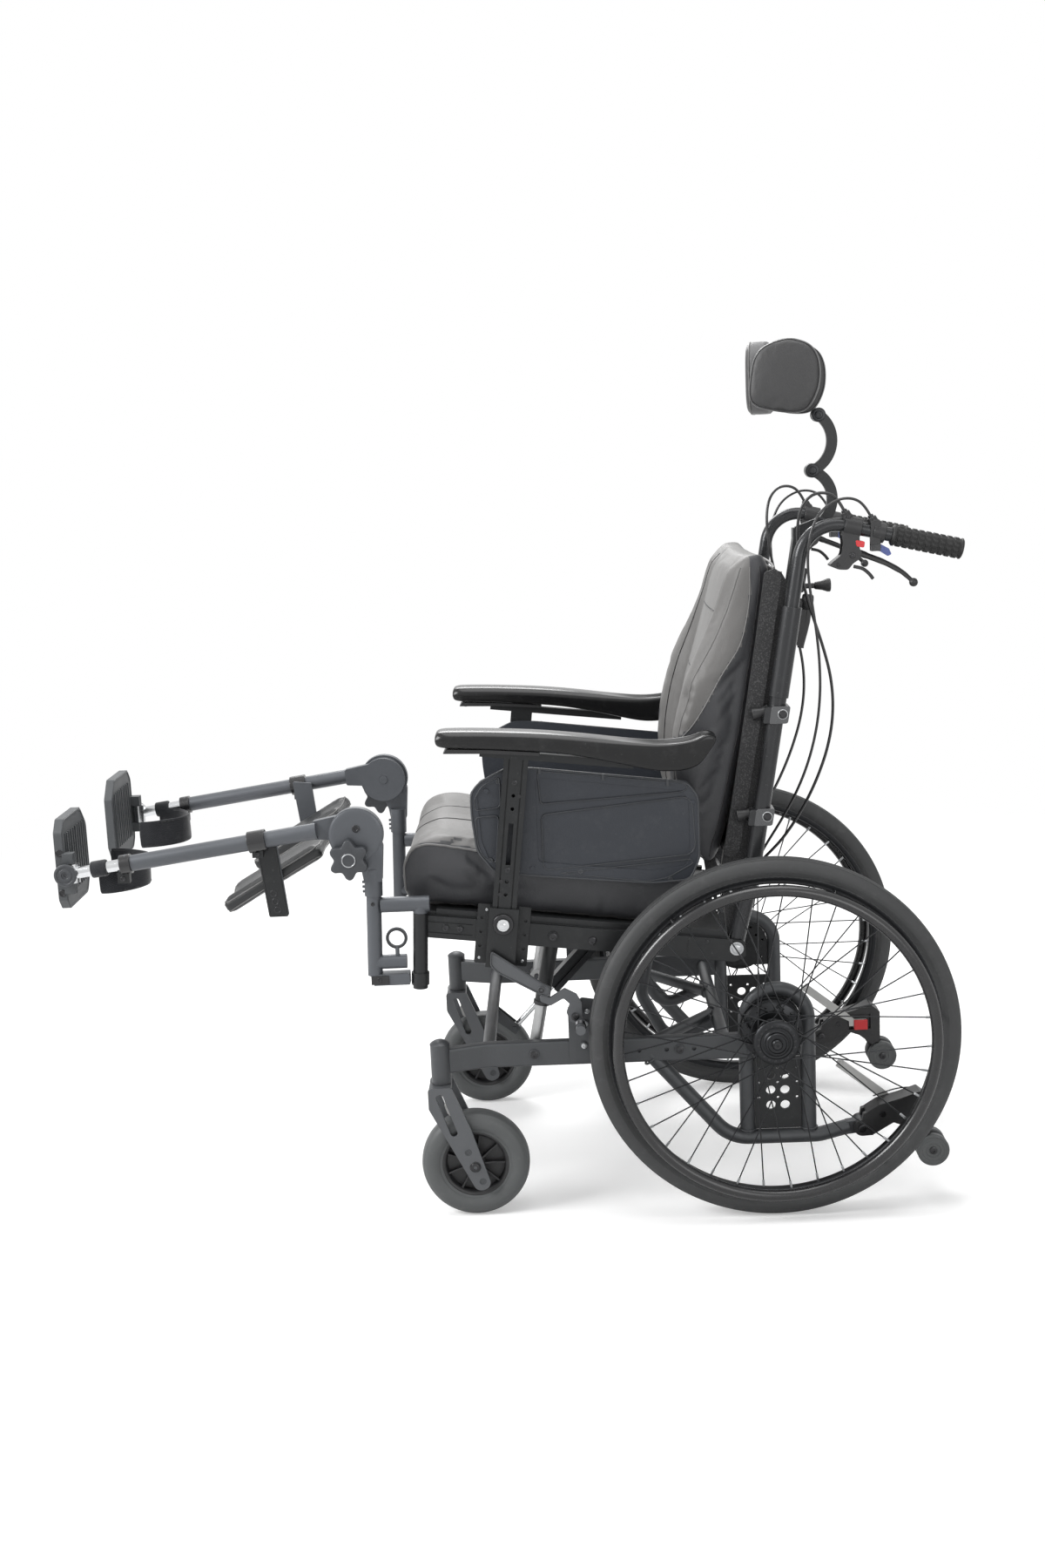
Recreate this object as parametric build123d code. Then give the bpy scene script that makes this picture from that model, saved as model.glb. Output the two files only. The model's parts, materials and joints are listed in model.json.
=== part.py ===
"""Tilt in space wheelchair: manual base, tilting seat, reclining back, headrest and
elevating legrests, each sub-part as its own node.

Millimetres, +Z up, the chair faces -Y and the sitter's left is +X. The origin is on the
floor, under the middle of the chair.
"""
import os
from math import atan2, cos, degrees, hypot, radians, sin, tan

from build123d import *

# ---- fits and gaps -------------------------------------------------------------------
RUN = 0.05          # radial clearance of a shaft that turns or slides in its hole
GAP = 0.3           # air between faces that pass each other
SIDE_GAP = 1.5      # air beside an eye, lug or wheel that turns next to a plate

# ---- width ---------------------------------------------------------------------------
SEAT_WIDTH = 450.0  # over the seat cushion; every piece at the sides follows it
HALF = SEAT_WIDTH / 2

# ---- drive wheels --------------------------------------------------------------------
WHEEL_X = HALF + 88.0   # middle plane of a drive tyre, from the chair's centre line
WHEEL_R = 304.0     # outer radius of the tyre, a 24 inch wheel
TYRE_W = 36.0
RIM_DROP = 44.0     # from the tread in to the rim's inner face
RIM_IN_R = WHEEL_R - RIM_DROP
RIM_W = 25.0
RIM_DEPTH = 13.5
AXLE_Y = 425.0
AXLE_R = 6.0
SPOKES = 36
SPOKE_R = 1.15
SPOKE_LEAD = 58.0   # degrees between a spoke's hole in the hub and its nipple
SPOKE_PASS = 1.35   # sideways offset with which crossing spokes pass each other
FLANGE_R = 37.5
FLANGE_T = 4.0
FLANGE_INNER_X = WHEEL_X - 23.0
FLANGE_OUTER_X = WHEEL_X + 25.0
BARREL_R = 24.0
HUB_END_X = WHEEL_X + 38.0
HUB_CAP_R = 19.0
DRUM_R = 50.0
DRUM_X = WHEEL_X - 51.0
HANDRIM_X = WHEEL_X + 41.0
HANDRIM_R = RIM_IN_R - 2.5
HANDRIM_TUBE_R = 9.5
HANDRIM_TABS = 6

# ---- casters -------------------------------------------------------------------------
CASTER_X = HALF + 42.0
STEM_Y = -128.0
CASTER_R = 91.0
CASTER_W = 44.0
CASTER_RIM_R = 54.0
CASTER_RIBS = 7
CASTER_TRAIL = 51.0
STEM_R = 8.0
HEAD_R = 16.5
HEAD_BOTTOM = 231.5
HEAD_TOP = 300.0
HEAD_DOME = 7.0
FORK_T = 5.0
FORK_HOLE_STEP = 26.0

# ---- base frame ----------------------------------------------------------------------
RAIL_X = HALF + 17.0
RAIL_W = 20.0
RAIL_H = 42.0
RAIL_Z = 269.0
RAIL_FLARE_Y = -52.0
CROSS_R = 11.0
FRONT_CROSS_Y = -49.0
REAR_CROSS_Y = 350.0
BRACE_R = 10.0
BRACE_X = 55.0      # where the two floor braces meet the rear cross tube
BRACE_RAIL_Y = 207.0
ARCH_X = HALF + 13.0
ARCH_R = 12.5
ARCH_FRONT_Y = 385.0
ARCH_REAR_Y = 489.0
ARCH_TOP = 376.0
LOWER_Z = 105.0
LOWER_R = 12.5
LOWER_X = HALF + 15.0
ADAPTER_T = 6.0
ADAPTER_BOTTOM = 266.0
HOLE_PLATE_TOP = 245.0
HOLE_PLATE_BOTTOM = 119.0
PLATE_HOLE_R = 8.0
PLATE_HOLE_STEP = 26.5

# ---- anti-tippers --------------------------------------------------------------------
TIP_PIVOT_Y = 576.0
TIP_PIVOT_Z = 120.0
TIP_WHEEL_Y = 694.0
TIP_WHEEL_Z = 77.0
TIP_WHEEL_R = 27.0
TIP_WHEEL_W = 14.0
TIP_LUG_R = 14.0
TIP_LUG_T = 16.0
TIP_ARM_W = 36.0
TIP_NECK_W = 11.0

# ---- wheel locks ---------------------------------------------------------------------
LOCK_PIVOT_Y = 100.0
LOCK_PIVOT_Z = 344.0
LOCK_BLADE_X = WHEEL_X - 31.5
LOCK_SHOE_R = 8.0
LOCK_SHOE_GAP = 6.0     # free air between the shoe and the tyre with the lock off

# ---- seat ----------------------------------------------------------------------------
SEAT_TILT = 7.0         # degrees, front up, as stored
SEAT_RAIL_X = HALF + 15.0
SEAT_RAIL_W = 20.0
SEAT_RAIL_H = 37.5
SEAT_FRONT_Y = 69.0     # the strut bolt on the seat rail, which the seat is drawn round
SEAT_FRONT_Z = 472.0
RAIL_FRONT_U = -213.0
RAIL_REAR_U = 284.0
SEAT_PLATE_T = 6.0
TILT_PIVOT_Y = 240.0
TILT_PIVOT_Z = 430.0
TILT_PIVOT_R = 6.0
YOKE_X = 100.0
YOKE_R = 10.5
YOKE_EYE_T = 16.0
CUSHION_FRONT_U = -266.0
CUSHION_REAR_U = 226.0
CUSHION_H = 112.0

# ---- front struts --------------------------------------------------------------------
STRUT_X = HALF - 9.0
STRUT_FOOT_Y = 29.0
STRUT_ROD_R = 10.0
STRUT_SLEEVE_R = 12.5
STRUT_SLEEVE_L = 126.0
STRUT_OVERRUN = 46.0     # from the strut's head down to the end of its rod
STRUT_PIN_R = 5.0
OPEN_PIN_PLAY = 3.2     # radial play at a pivot where the linkage is opened

# ---- gas springs ---------------------------------------------------------------------
SPRING_PIN_R = 4.0
SPRING_ROD_R = 5.0
SPRING_EYE_R = 9.0
SPRING_EYE_T = 12.0
TILT_SPRING_FOOT = (-10.0, 236.0)
TILT_SPRING_HEAD = (168.0, 424.0)
TILT_SPRING_BODY = 30.0
TILT_SPRING_PLAY = 2.2
TILT_HEAD_U = 112.0     # along the seat, where the ears of each spring are welded
RECLINE_FOOT_U = 106.0
RECLINE_SPRING_X = 32.0
RECLINE_SPRING_FOOT = (175.0, 414.0)
RECLINE_SPRING_HEAD = (353.0, 392.5)
RECLINE_SPRING_PLAY = 2.0
RECLINE_SPRING_R = 14.0

# ---- back ----------------------------------------------------------------------------
CANE_X = HALF + 7.0
CANE_R = 13.5
RECLINE_Y = 372.0
RECLINE_Z = 440.0
RECLINE_PIN_R = 6.0
CANE_EYE_R = 16.0
CANE_EYE_T = 22.0
HANDLE_R = 11.0
HANDLE_BEND_R = 58.0
GRIP_R = 17.0
GRIP_L = 112.0
BACK_W = SEAT_WIDTH - 6.0
TRIGGER_X = CANE_X - 13.0        # inboard of the brake lever, which closes past it
CORD_SEAT = 0.15         # between a cord's end and the mouth that it comes out of
CABLE_STOP_L = 23.0      # from the lower cross tube's middle to the stop's mouth
CABLE_STOP_RUN = (0.1, 0.5, 0.86)
BRAKE_STOP_X = 112.0
RELEASE_STOP_X = 128.0

# ---- armrests ------------------------------------------------------------------------
POST_U = -84.0
POST_W = 40.0
POST_T = 16.0
POST_X = HALF + 39.0
RECEIVER_WALL = 4.0
RECEIVER_LOW = -54.0
RECEIVER_HIGH = 47.0
RECEIVER_W = 88.0
BUTTON_V = 21.0
BUTTON_R = 10.0
PANEL_X = HALF + 24.0
PANEL_T = 6.0
ARM_PAD_X = HALF + 43.0
ARM_PAD_W = 62.0

# ---- legrests ------------------------------------------------------------------------
LEG_X = HALF + 25.0
POST_TUBE_R = 12.5
KNEE_Y = -247.0
KNEE_Z = 660.0
KNEE_R = 45.0
LEG_TUBE_R = 13.5
LEG_INNER_R = 10.0


# ---- drawing helpers -----------------------------------------------------------------
def side_face(points, bends=0.0, x=0.0):
    """A closed outline of (y, z) points with rounded corners, on the plane at x."""
    if bends:
        line = FilletPolyline(*points, radius=bends, close=True)
    else:
        line = Polyline(*points, close=True)
    return Plane.YZ.offset(x) * make_face(line)


def side_plate(points, x0, x1, bends=0.0):
    """A side outline carried from x0 to x1."""
    return extrude(side_face(points, bends, x0), amount=x1 - x0)


def rod(start, end, radius):
    """A round bar between two points."""
    run = Vector(end) - Vector(start)
    return extrude(Plane(origin=start, z_dir=run) * Circle(radius), amount=run.length)


def cross_pin(y, z, x0, x1, radius):
    """A round bar across the chair."""
    return rod((x0, y, z), (x1, y, z), radius)


def bent_tube(points, bend, radius):
    """A round tube along straight runs with rounded corners."""
    path = FilletPolyline(*points, radius=bend) if len(points) > 2 else Line(*points)
    return sweep(Plane(origin=path @ 0, z_dir=path % 0) * Circle(radius), path)


def turned(profile, y, z):
    """A body of revolution about the X line through (y, z), from (x, radius) points."""
    plane = Plane(origin=(0, y, z), x_dir=(1, 0, 0), z_dir=(0, -1, 0))
    face = plane * make_face(Polyline(*profile, close=True))
    return revolve(face, axis=Axis((0, y, z), (1, 0, 0)), revolution_arc=360)


def turned_face(face, y, z):
    """As turned(), for a sketch whose x is X and whose y is the radius."""
    plane = Plane(origin=(0, y, z), x_dir=(1, 0, 0), z_dir=(0, -1, 0))
    return revolve(plane * face, axis=Axis((0, y, z), (1, 0, 0)), revolution_arc=360)


def box(x0, x1, y0, y1, z0, z1):
    """A block between two corners."""
    middle = ((x0 + x1) / 2, (y0 + y1) / 2, (z0 + z1) / 2)
    return Pos(*middle) * Box(x1 - x0, y1 - y0, z1 - z0)


def fused(*shapes):
    """One solid from several."""
    body = shapes[0]
    for shape in shapes[1:]:
        body = body + shape
    return body


def opposite(shape):
    """The same piece on the chair's other side."""
    return mirror(shape, about=Plane.YZ)


def seat_plane(x):
    """The seat's own plane at x: local x runs back along the rail, local y stands up."""
    tilt = radians(SEAT_TILT)
    return Plane(origin=(x, SEAT_FRONT_Y, SEAT_FRONT_Z),
                 x_dir=(0, cos(tilt), -sin(tilt)), z_dir=(1, 0, 0))


def seat_point(u, v):
    """The (y, z) of a place u back along the seat rail and v above its middle."""
    tilt = radians(SEAT_TILT)
    return (SEAT_FRONT_Y + u * cos(tilt) + v * sin(tilt),
            SEAT_FRONT_Z - u * sin(tilt) + v * cos(tilt))


def seat_plate(points, x0, x1, bends=0.0):
    """An outline in the seat's own plane carried from x0 to x1."""
    if bends:
        line = FilletPolyline(*points, radius=bends, close=True)
    else:
        line = Polyline(*points, close=True)
    return extrude(seat_plane(x0) * make_face(line), amount=x1 - x0)


def seat_block(x0, x1, u0, u1, v0, v1):
    """A block square to the seat."""
    return seat_plate([(u0, v0), (u1, v0), (u1, v1), (u0, v1)], x0, x1)


def between(start, end, share):
    """The (y, z) point at a share of the way from start to end."""
    return tuple(a + (b - a) * share for a, b in zip(start, end))


def at_x(x, point):
    """A (y, z) point carried to x."""
    return (x, point[0], point[1])


# ---- base ----------------------------------------------------------------------------
def base_side():
    """One side of the welded base: rail, head tube, axle arch and lower tube."""
    path = FilletPolyline((RAIL_X, ARCH_FRONT_Y, RAIL_Z), (RAIL_X, RAIL_FLARE_Y, RAIL_Z),
                          (CASTER_X, STEM_Y, RAIL_Z), radius=60)
    section = Plane(origin=path @ 0, x_dir=(1, 0, 0), z_dir=path % 0)
    rail = sweep(section * RectangleRounded(RAIL_W, RAIL_H, 4), path)
    head = rod((CASTER_X, STEM_Y, HEAD_BOTTOM), (CASTER_X, STEM_Y, HEAD_TOP), HEAD_R)
    dome_r = (HEAD_R ** 2 + HEAD_DOME ** 2) / (2 * HEAD_DOME)
    dome = Pos(CASTER_X, STEM_Y, HEAD_TOP + HEAD_DOME - dome_r) * Sphere(dome_r)
    above = box(CASTER_X - HEAD_R, CASTER_X + HEAD_R, STEM_Y - HEAD_R, STEM_Y + HEAD_R,
                HEAD_TOP - 1, HEAD_TOP + HEAD_DOME + 1)
    side = fused(rail, head, dome & above)
    stem_top = HEAD_TOP - 12
    side -= rod((CASTER_X, STEM_Y, HEAD_BOTTOM - 1), (CASTER_X, STEM_Y, stem_top),
                STEM_R + RUN)
    arch_bend = (ARCH_REAR_Y - ARCH_FRONT_Y) / 2
    spring_z = ARCH_TOP - ARCH_R - arch_bend
    middle_y = (ARCH_FRONT_Y + ARCH_REAR_Y) / 2
    legs = [rod((ARCH_X, y, LOWER_Z), (ARCH_X, y, spring_z), ARCH_R)
            for y in (ARCH_FRONT_Y, ARCH_REAR_Y)]
    crown = ThreePointArc((ARCH_X, ARCH_FRONT_Y, spring_z),
                          (ARCH_X, middle_y, spring_z + arch_bend),
                          (ARCH_X, ARCH_REAR_Y, spring_z))
    crown = sweep(Plane(origin=crown @ 0, z_dir=crown % 0) * Circle(ARCH_R), crown)
    lower = bent_tube([(LOWER_X, 222, RAIL_Z - 8), (LOWER_X, 355, LOWER_Z),
                       (LOWER_X, 505, LOWER_Z), (LOWER_X, 556, LOWER_Z + 13)],
                      70, LOWER_R)
    lug = cross_pin(TIP_PIVOT_Y, TIP_PIVOT_Z, LOWER_X - TIP_LUG_T / 2,
                    LOWER_X + TIP_LUG_T / 2, TIP_LUG_R)
    lug += side_plate([(550, LOWER_Z + 1), (TIP_PIVOT_Y, TIP_PIVOT_Z - 11),
                       (TIP_PIVOT_Y, TIP_PIVOT_Z + 11), (550, LOWER_Z + 23)],
                      LOWER_X - TIP_LUG_T / 2, LOWER_X + TIP_LUG_T / 2)
    side = fused(side, legs[0], legs[1], crown, lower, lug)
    side -= cross_pin(TIP_PIVOT_Y, TIP_PIVOT_Z, LOWER_X - 20, LOWER_X + 20, 5 + RUN)
    side += lock_bracket()
    side += rod((BRACE_X, REAR_CROSS_Y, RAIL_Z), (RAIL_X - 6, BRACE_RAIL_Y, RAIL_Z),
                BRACE_R)
    side += yoke()
    side += cross_pin(STRUT_FOOT_Y, RAIL_Z, STRUT_X - 14, RAIL_X, STRUT_PIN_R)
    outer = RAIL_X + RAIL_W / 2
    for y in (STRUT_FOOT_Y, 273):
        side += cross_pin(y, RAIL_Z, outer - 1, outer + 3, 8.5)
        side -= cross_pin(y, RAIL_Z, outer + 1, outer + 4, 4)
    for y in (205, 251, 297):
        side -= cross_pin(y, RAIL_Z, outer - 5, outer + 1, 3.5)
    return side


def yoke():
    """The bent tube that carries the seat's tilt pivot, up from the rear cross tube."""
    tube = bent_tube([(YOKE_X, REAR_CROSS_Y, RAIL_Z), (YOKE_X, 262, 234),
                      (YOKE_X, 216, 322), (YOKE_X, TILT_PIVOT_Y, TILT_PIVOT_Z)],
                     34, YOKE_R)
    eye = cross_pin(TILT_PIVOT_Y, TILT_PIVOT_Z, YOKE_X - YOKE_EYE_T / 2,
                    YOKE_X + YOKE_EYE_T / 2, 16)
    hole = cross_pin(TILT_PIVOT_Y, TILT_PIVOT_Z, YOKE_X - 30, YOKE_X + 30,
                     TILT_PIVOT_R + RUN)
    return fused(tube, eye) - hole


def lock_bracket():
    """The plate on the rail that carries the wheel lock."""
    outer = RAIL_X + RAIL_W / 2
    plate = side_plate([(88, RAIL_Z - 14), (136, RAIL_Z - 14), (136, 362),
                        (112, 366), (88, 350)], outer - 0.5, outer + 4, 5)
    pin = cross_pin(LOCK_PIVOT_Y, LOCK_PIVOT_Z, outer, LOCK_BLADE_X + 7, 5)
    bolts = [cross_pin(y, z, outer, outer + 8, 6) for y, z in ((116, 322), (113, 284))]
    return fused(plate, pin, *bolts)


def spring_clevis(x, foot, root, width, base=10.0):
    """Two ears and a pin standing off a root point, for the end of a gas spring."""
    inner = SPRING_EYE_T / 2 + GAP
    reach = inner + width
    body = cross_pin(*foot, x - reach - 2, x + reach + 2, SPRING_PIN_R)
    for sign in (-1, 1):
        body += side_plate(hull_of(*root, foot, base), x + sign * inner,
                           x + sign * reach)
    return body


def hull_of(y, z, tip, base=10.0, end=8.0):
    """A tapering ear from a tube at (y, z) to a pin at tip."""
    angle = atan2(tip[1] - z, tip[0] - y)
    across = (-sin(angle), cos(angle))
    beyond = (tip[0] + end * cos(angle), tip[1] + end * sin(angle))
    return [(y + base * across[0], z + base * across[1]),
            (y - base * across[0], z - base * across[1]),
            (beyond[0] - end * across[0], beyond[1] - end * across[1]),
            (beyond[0] + end * across[0], beyond[1] + end * across[1])]


def base_frame():
    """The whole welded base."""
    side = base_side()
    reach = RAIL_X - RAIL_W / 2 + 1
    front = cross_pin(FRONT_CROSS_Y, RAIL_Z, -reach, reach, CROSS_R)
    rear = cross_pin(REAR_CROSS_Y, RAIL_Z, -reach, reach, CROSS_R)
    return fused(rear, side, opposite(side), front,
                 spring_clevis(0, TILT_SPRING_FOOT, (FRONT_CROSS_Y, RAIL_Z), 4))


def axle_bracket():
    """The adapter plate in the arch with its axle, and the plate of spare holes."""
    x0, x1 = ARCH_X - ADAPTER_T / 2, ARCH_X + ADAPTER_T / 2
    arch_bend = (ARCH_REAR_Y - ARCH_FRONT_Y) / 2
    spring_z = ARCH_TOP - ARCH_R - arch_bend
    middle_y = (ARCH_FRONT_Y + ARCH_REAR_Y) / 2
    y0 = ARCH_FRONT_Y + ARCH_R + GAP
    y1 = ARCH_REAR_Y - ARCH_R - GAP
    plate = box(x0, x1, y0, y1, ADAPTER_BOTTOM, spring_z)
    plate += cross_pin(middle_y, spring_z, x0, x1, (y1 - y0) / 2)
    for y, z in ((y0 + 9, spring_z + 4), (y1 - 9, spring_z + 4), (y1 - 12, 281),
                 (middle_y + 18, 325), (middle_y + 8, 340), (middle_y - 14, 341)):
        plate -= cross_pin(y, z, x0 - 1, x1 + 1, 2.5)
    plate += cross_pin(AXLE_Y, WHEEL_R, ARCH_X - 16, DRUM_X - 1.2, 14)
    plate += cross_pin(AXLE_Y, WHEEL_R, DRUM_X - 4, DRUM_X - 1, DRUM_R + 2)
    plate += cross_pin(AXLE_Y, WHEEL_R, ARCH_X - 22, HUB_END_X - 7, AXLE_R)
    nut = Plane(origin=(ARCH_X - 23, AXLE_Y, WHEEL_R), z_dir=(1, 0, 0))
    plate += extrude(nut * RegularPolygon(10.5, 6), amount=7)
    holes = box(x0, x1, y0, y1, HOLE_PLATE_BOTTOM, HOLE_PLATE_TOP)
    for row in range(3):
        z = 213 - row * PLATE_HOLE_STEP
        for y in (AXLE_Y, AXLE_Y + 24):
            holes -= cross_pin(y, z, x0 - 1, x1 + 1, PLATE_HOLE_R)
        for y in (y0 + 7, AXLE_Y + 12, y1 - 7):
            holes -= cross_pin(y, z + PLATE_HOLE_STEP / 2, x0 - 1, x1 + 1, 2.5)
    return plate, holes


# ---- drive wheel ---------------------------------------------------------------------
def drive_tyre():
    """The tyre, seated on the rim's outer face."""
    section_r = TYRE_W / 2
    seat_r = RIM_IN_R + RIM_DEPTH
    ring = Pos(WHEEL_X, WHEEL_R - section_r) * Circle(section_r)
    ring &= Pos(WHEEL_X, seat_r + 50) * Rectangle(2 * TYRE_W, 100)
    return turned_face(ring, AXLE_Y, WHEEL_R)


def spoke(index):
    """One laced spoke: odd ones start at the inner flange and even ones at the outer."""
    flange_x = FLANGE_OUTER_X if index % 2 else FLANGE_INNER_X
    lead = SPOKE_LEAD if (index // 2) % 2 else -SPOKE_LEAD
    nipple = radians(360 / SPOKES * (index + 0.5))
    start = nipple - radians(lead)
    hole_r = FLANGE_R - 5
    aside = SPOKE_PASS if lead > 0 else -SPOKE_PASS
    root = (flange_x + aside, AXLE_Y + hole_r * cos(start),
            WHEEL_R + hole_r * sin(start))
    tip_x = WHEEL_X + aside + (3 if index % 2 else -3)
    tip_r = RIM_IN_R + 1.5
    tip = (tip_x, AXLE_Y + tip_r * cos(nipple), WHEEL_R + tip_r * sin(nipple))
    run = Vector(tip) - Vector(root)
    return extrude(Plane(origin=root, z_dir=run) * RegularPolygon(SPOKE_R, 4),
                   amount=run.length)


def drive_wheel():
    """Rim, laced spokes, drum hub and handrim, which come off the chair as one."""
    rim_out = RIM_IN_R + RIM_DEPTH
    half = RIM_W / 2
    rim = turned([(WHEEL_X - half, rim_out), (WHEEL_X - half, RIM_IN_R + 6),
                  (WHEEL_X - half + 5, RIM_IN_R), (WHEEL_X + half - 5, RIM_IN_R),
                  (WHEEL_X + half, RIM_IN_R + 6), (WHEEL_X + half, rim_out)],
                 AXLE_Y, WHEEL_R)
    bore = AXLE_R + RUN
    hub = turned([(DRUM_X, bore), (DRUM_X, DRUM_R - 3), (DRUM_X + 3, DRUM_R),
                  (FLANGE_INNER_X - 6, DRUM_R), (FLANGE_INNER_X - 2, FLANGE_R),
                  (FLANGE_INNER_X + FLANGE_T, FLANGE_R),
                  (FLANGE_INNER_X + FLANGE_T, BARREL_R),
                  (FLANGE_OUTER_X - FLANGE_T, BARREL_R),
                  (FLANGE_OUTER_X - FLANGE_T, FLANGE_R),
                  (FLANGE_OUTER_X + 3, FLANGE_R), (FLANGE_OUTER_X + 6, FLANGE_R - 4),
                  (FLANGE_OUTER_X + 6, HUB_CAP_R), (HUB_END_X, HUB_CAP_R),
                  (HUB_END_X, HUB_CAP_R - 5), (HUB_END_X - 2, HUB_CAP_R - 5),
                  (HUB_END_X - 2, 0), (HUB_END_X - 6, 0), (HUB_END_X - 6, bore)],
                 AXLE_Y, WHEEL_R)
    wheel = fused(rim, *[spoke(index) for index in range(SPOKES)])
    wheel += hub
    handrim = turned_face(Pos(HANDRIM_X, HANDRIM_R) * Circle(HANDRIM_TUBE_R),
                          AXLE_Y, WHEEL_R)
    tab_end = HANDRIM_X - HANDRIM_TUBE_R - 0.1
    for index in range(HANDRIM_TABS):
        angle = radians(360 / HANDRIM_TABS * index + 8)
        place = (AXLE_Y + HANDRIM_R * cos(angle), WHEEL_R + HANDRIM_R * sin(angle))
        foot_r = RIM_IN_R + 5
        foot = (AXLE_Y + foot_r * cos(angle), WHEEL_R + foot_r * sin(angle))
        wheel += rod((WHEEL_X + 6, *foot), (tab_end, *place), 4)
    return [wheel, handrim]


# ---- caster --------------------------------------------------------------------------
def caster_fork():
    """Stem, crown and two leaning plates with a slot and three axle heights."""
    axle_y = STEM_Y + CASTER_TRAIL
    crown_top = HEAD_BOTTOM - 0.5
    inner = CASTER_W / 2 + 2.5
    outline = [(STEM_Y - 22, crown_top), (STEM_Y - 22, crown_top - 36),
               (STEM_Y - 14, crown_top - 52), (axle_y + 2, 46), (axle_y + 27, 55),
               (STEM_Y + 46, 160), (STEM_Y + 17, crown_top)]
    fork = None
    for x0 in (CASTER_X - inner - FORK_T, CASTER_X + inner):
        cheek = side_plate(outline, x0, x0 + FORK_T, [6, 10, 12, 13, 13, 14, 6])
        fork = cheek if fork is None else fork + cheek
    fork += box(CASTER_X - inner - 1, CASTER_X + inner + 1, STEM_Y - 20, STEM_Y + 16,
                crown_top - 12, crown_top)
    fork += rod((CASTER_X, STEM_Y, crown_top - 6), (CASTER_X, STEM_Y, HEAD_TOP - 14),
                STEM_R)
    wide = inner + FORK_T + 1
    slot = [(STEM_Y - 3, 214), (STEM_Y + 18, 152)]
    for y, z in slot:
        fork -= cross_pin(y, z, CASTER_X - wide, CASTER_X - inner + 1, 6)
        fork -= cross_pin(y, z, CASTER_X + inner - 1, CASTER_X + wide, 6)
    lean = atan2(slot[1][1] - slot[0][1], slot[1][0] - slot[0][0])
    side = (-6 * sin(lean), 6 * cos(lean))
    window = [(slot[0][0] + side[0], slot[0][1] + side[1]),
              (slot[1][0] + side[0], slot[1][1] + side[1]),
              (slot[1][0] - side[0], slot[1][1] - side[1]),
              (slot[0][0] - side[0], slot[0][1] - side[1])]
    fork -= side_plate(window, CASTER_X - wide, CASTER_X - inner + 1)
    fork -= side_plate(window, CASTER_X + inner - 1, CASTER_X + wide)
    for step in (-1, 1):
        y = axle_y - step * 11
        z = CASTER_R + step * FORK_HOLE_STEP
        fork -= cross_pin(y, z, CASTER_X - wide, CASTER_X + wide, 4)
    fork += cross_pin(axle_y, CASTER_R, CASTER_X - inner - FORK_T - 3,
                      CASTER_X + inner + FORK_T + 3, AXLE_R)
    return fork


def caster_wheel():
    """Tyre on a ribbed rim with a plain bore."""
    axle_y = STEM_Y + CASTER_TRAIL
    half = CASTER_W / 2
    tyre = Pos(CASTER_X, (CASTER_R + CASTER_RIM_R) / 2)
    tyre *= RectangleRounded(CASTER_W, CASTER_R - CASTER_RIM_R, 14)
    wheel = turned_face(tyre, axle_y, CASTER_R)
    rim_half = half - 7
    wheel += turned([(CASTER_X - rim_half, CASTER_RIM_R + 3),
                     (CASTER_X - rim_half, CASTER_RIM_R - 6),
                     (CASTER_X + rim_half, CASTER_RIM_R - 6),
                     (CASTER_X + rim_half, CASTER_RIM_R + 3)], axle_y, CASTER_R)
    bore = AXLE_R + RUN
    wheel += turned([(CASTER_X - half, bore), (CASTER_X - half, 17),
                     (CASTER_X + half, 17), (CASTER_X + half, bore)], axle_y, CASTER_R)
    for index in range(CASTER_RIBS):
        angle = radians(360 / CASTER_RIBS * index)
        middle = (bore + 5 + CASTER_RIM_R) / 2
        length = CASTER_RIM_R - bore - 5
        place = Pos(CASTER_X, axle_y + middle * cos(angle),
                    CASTER_R + middle * sin(angle))
        wheel += place * Rot(degrees(angle), 0, 0) * Box(2 * rim_half - 6, length, 5)
    return wheel


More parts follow.
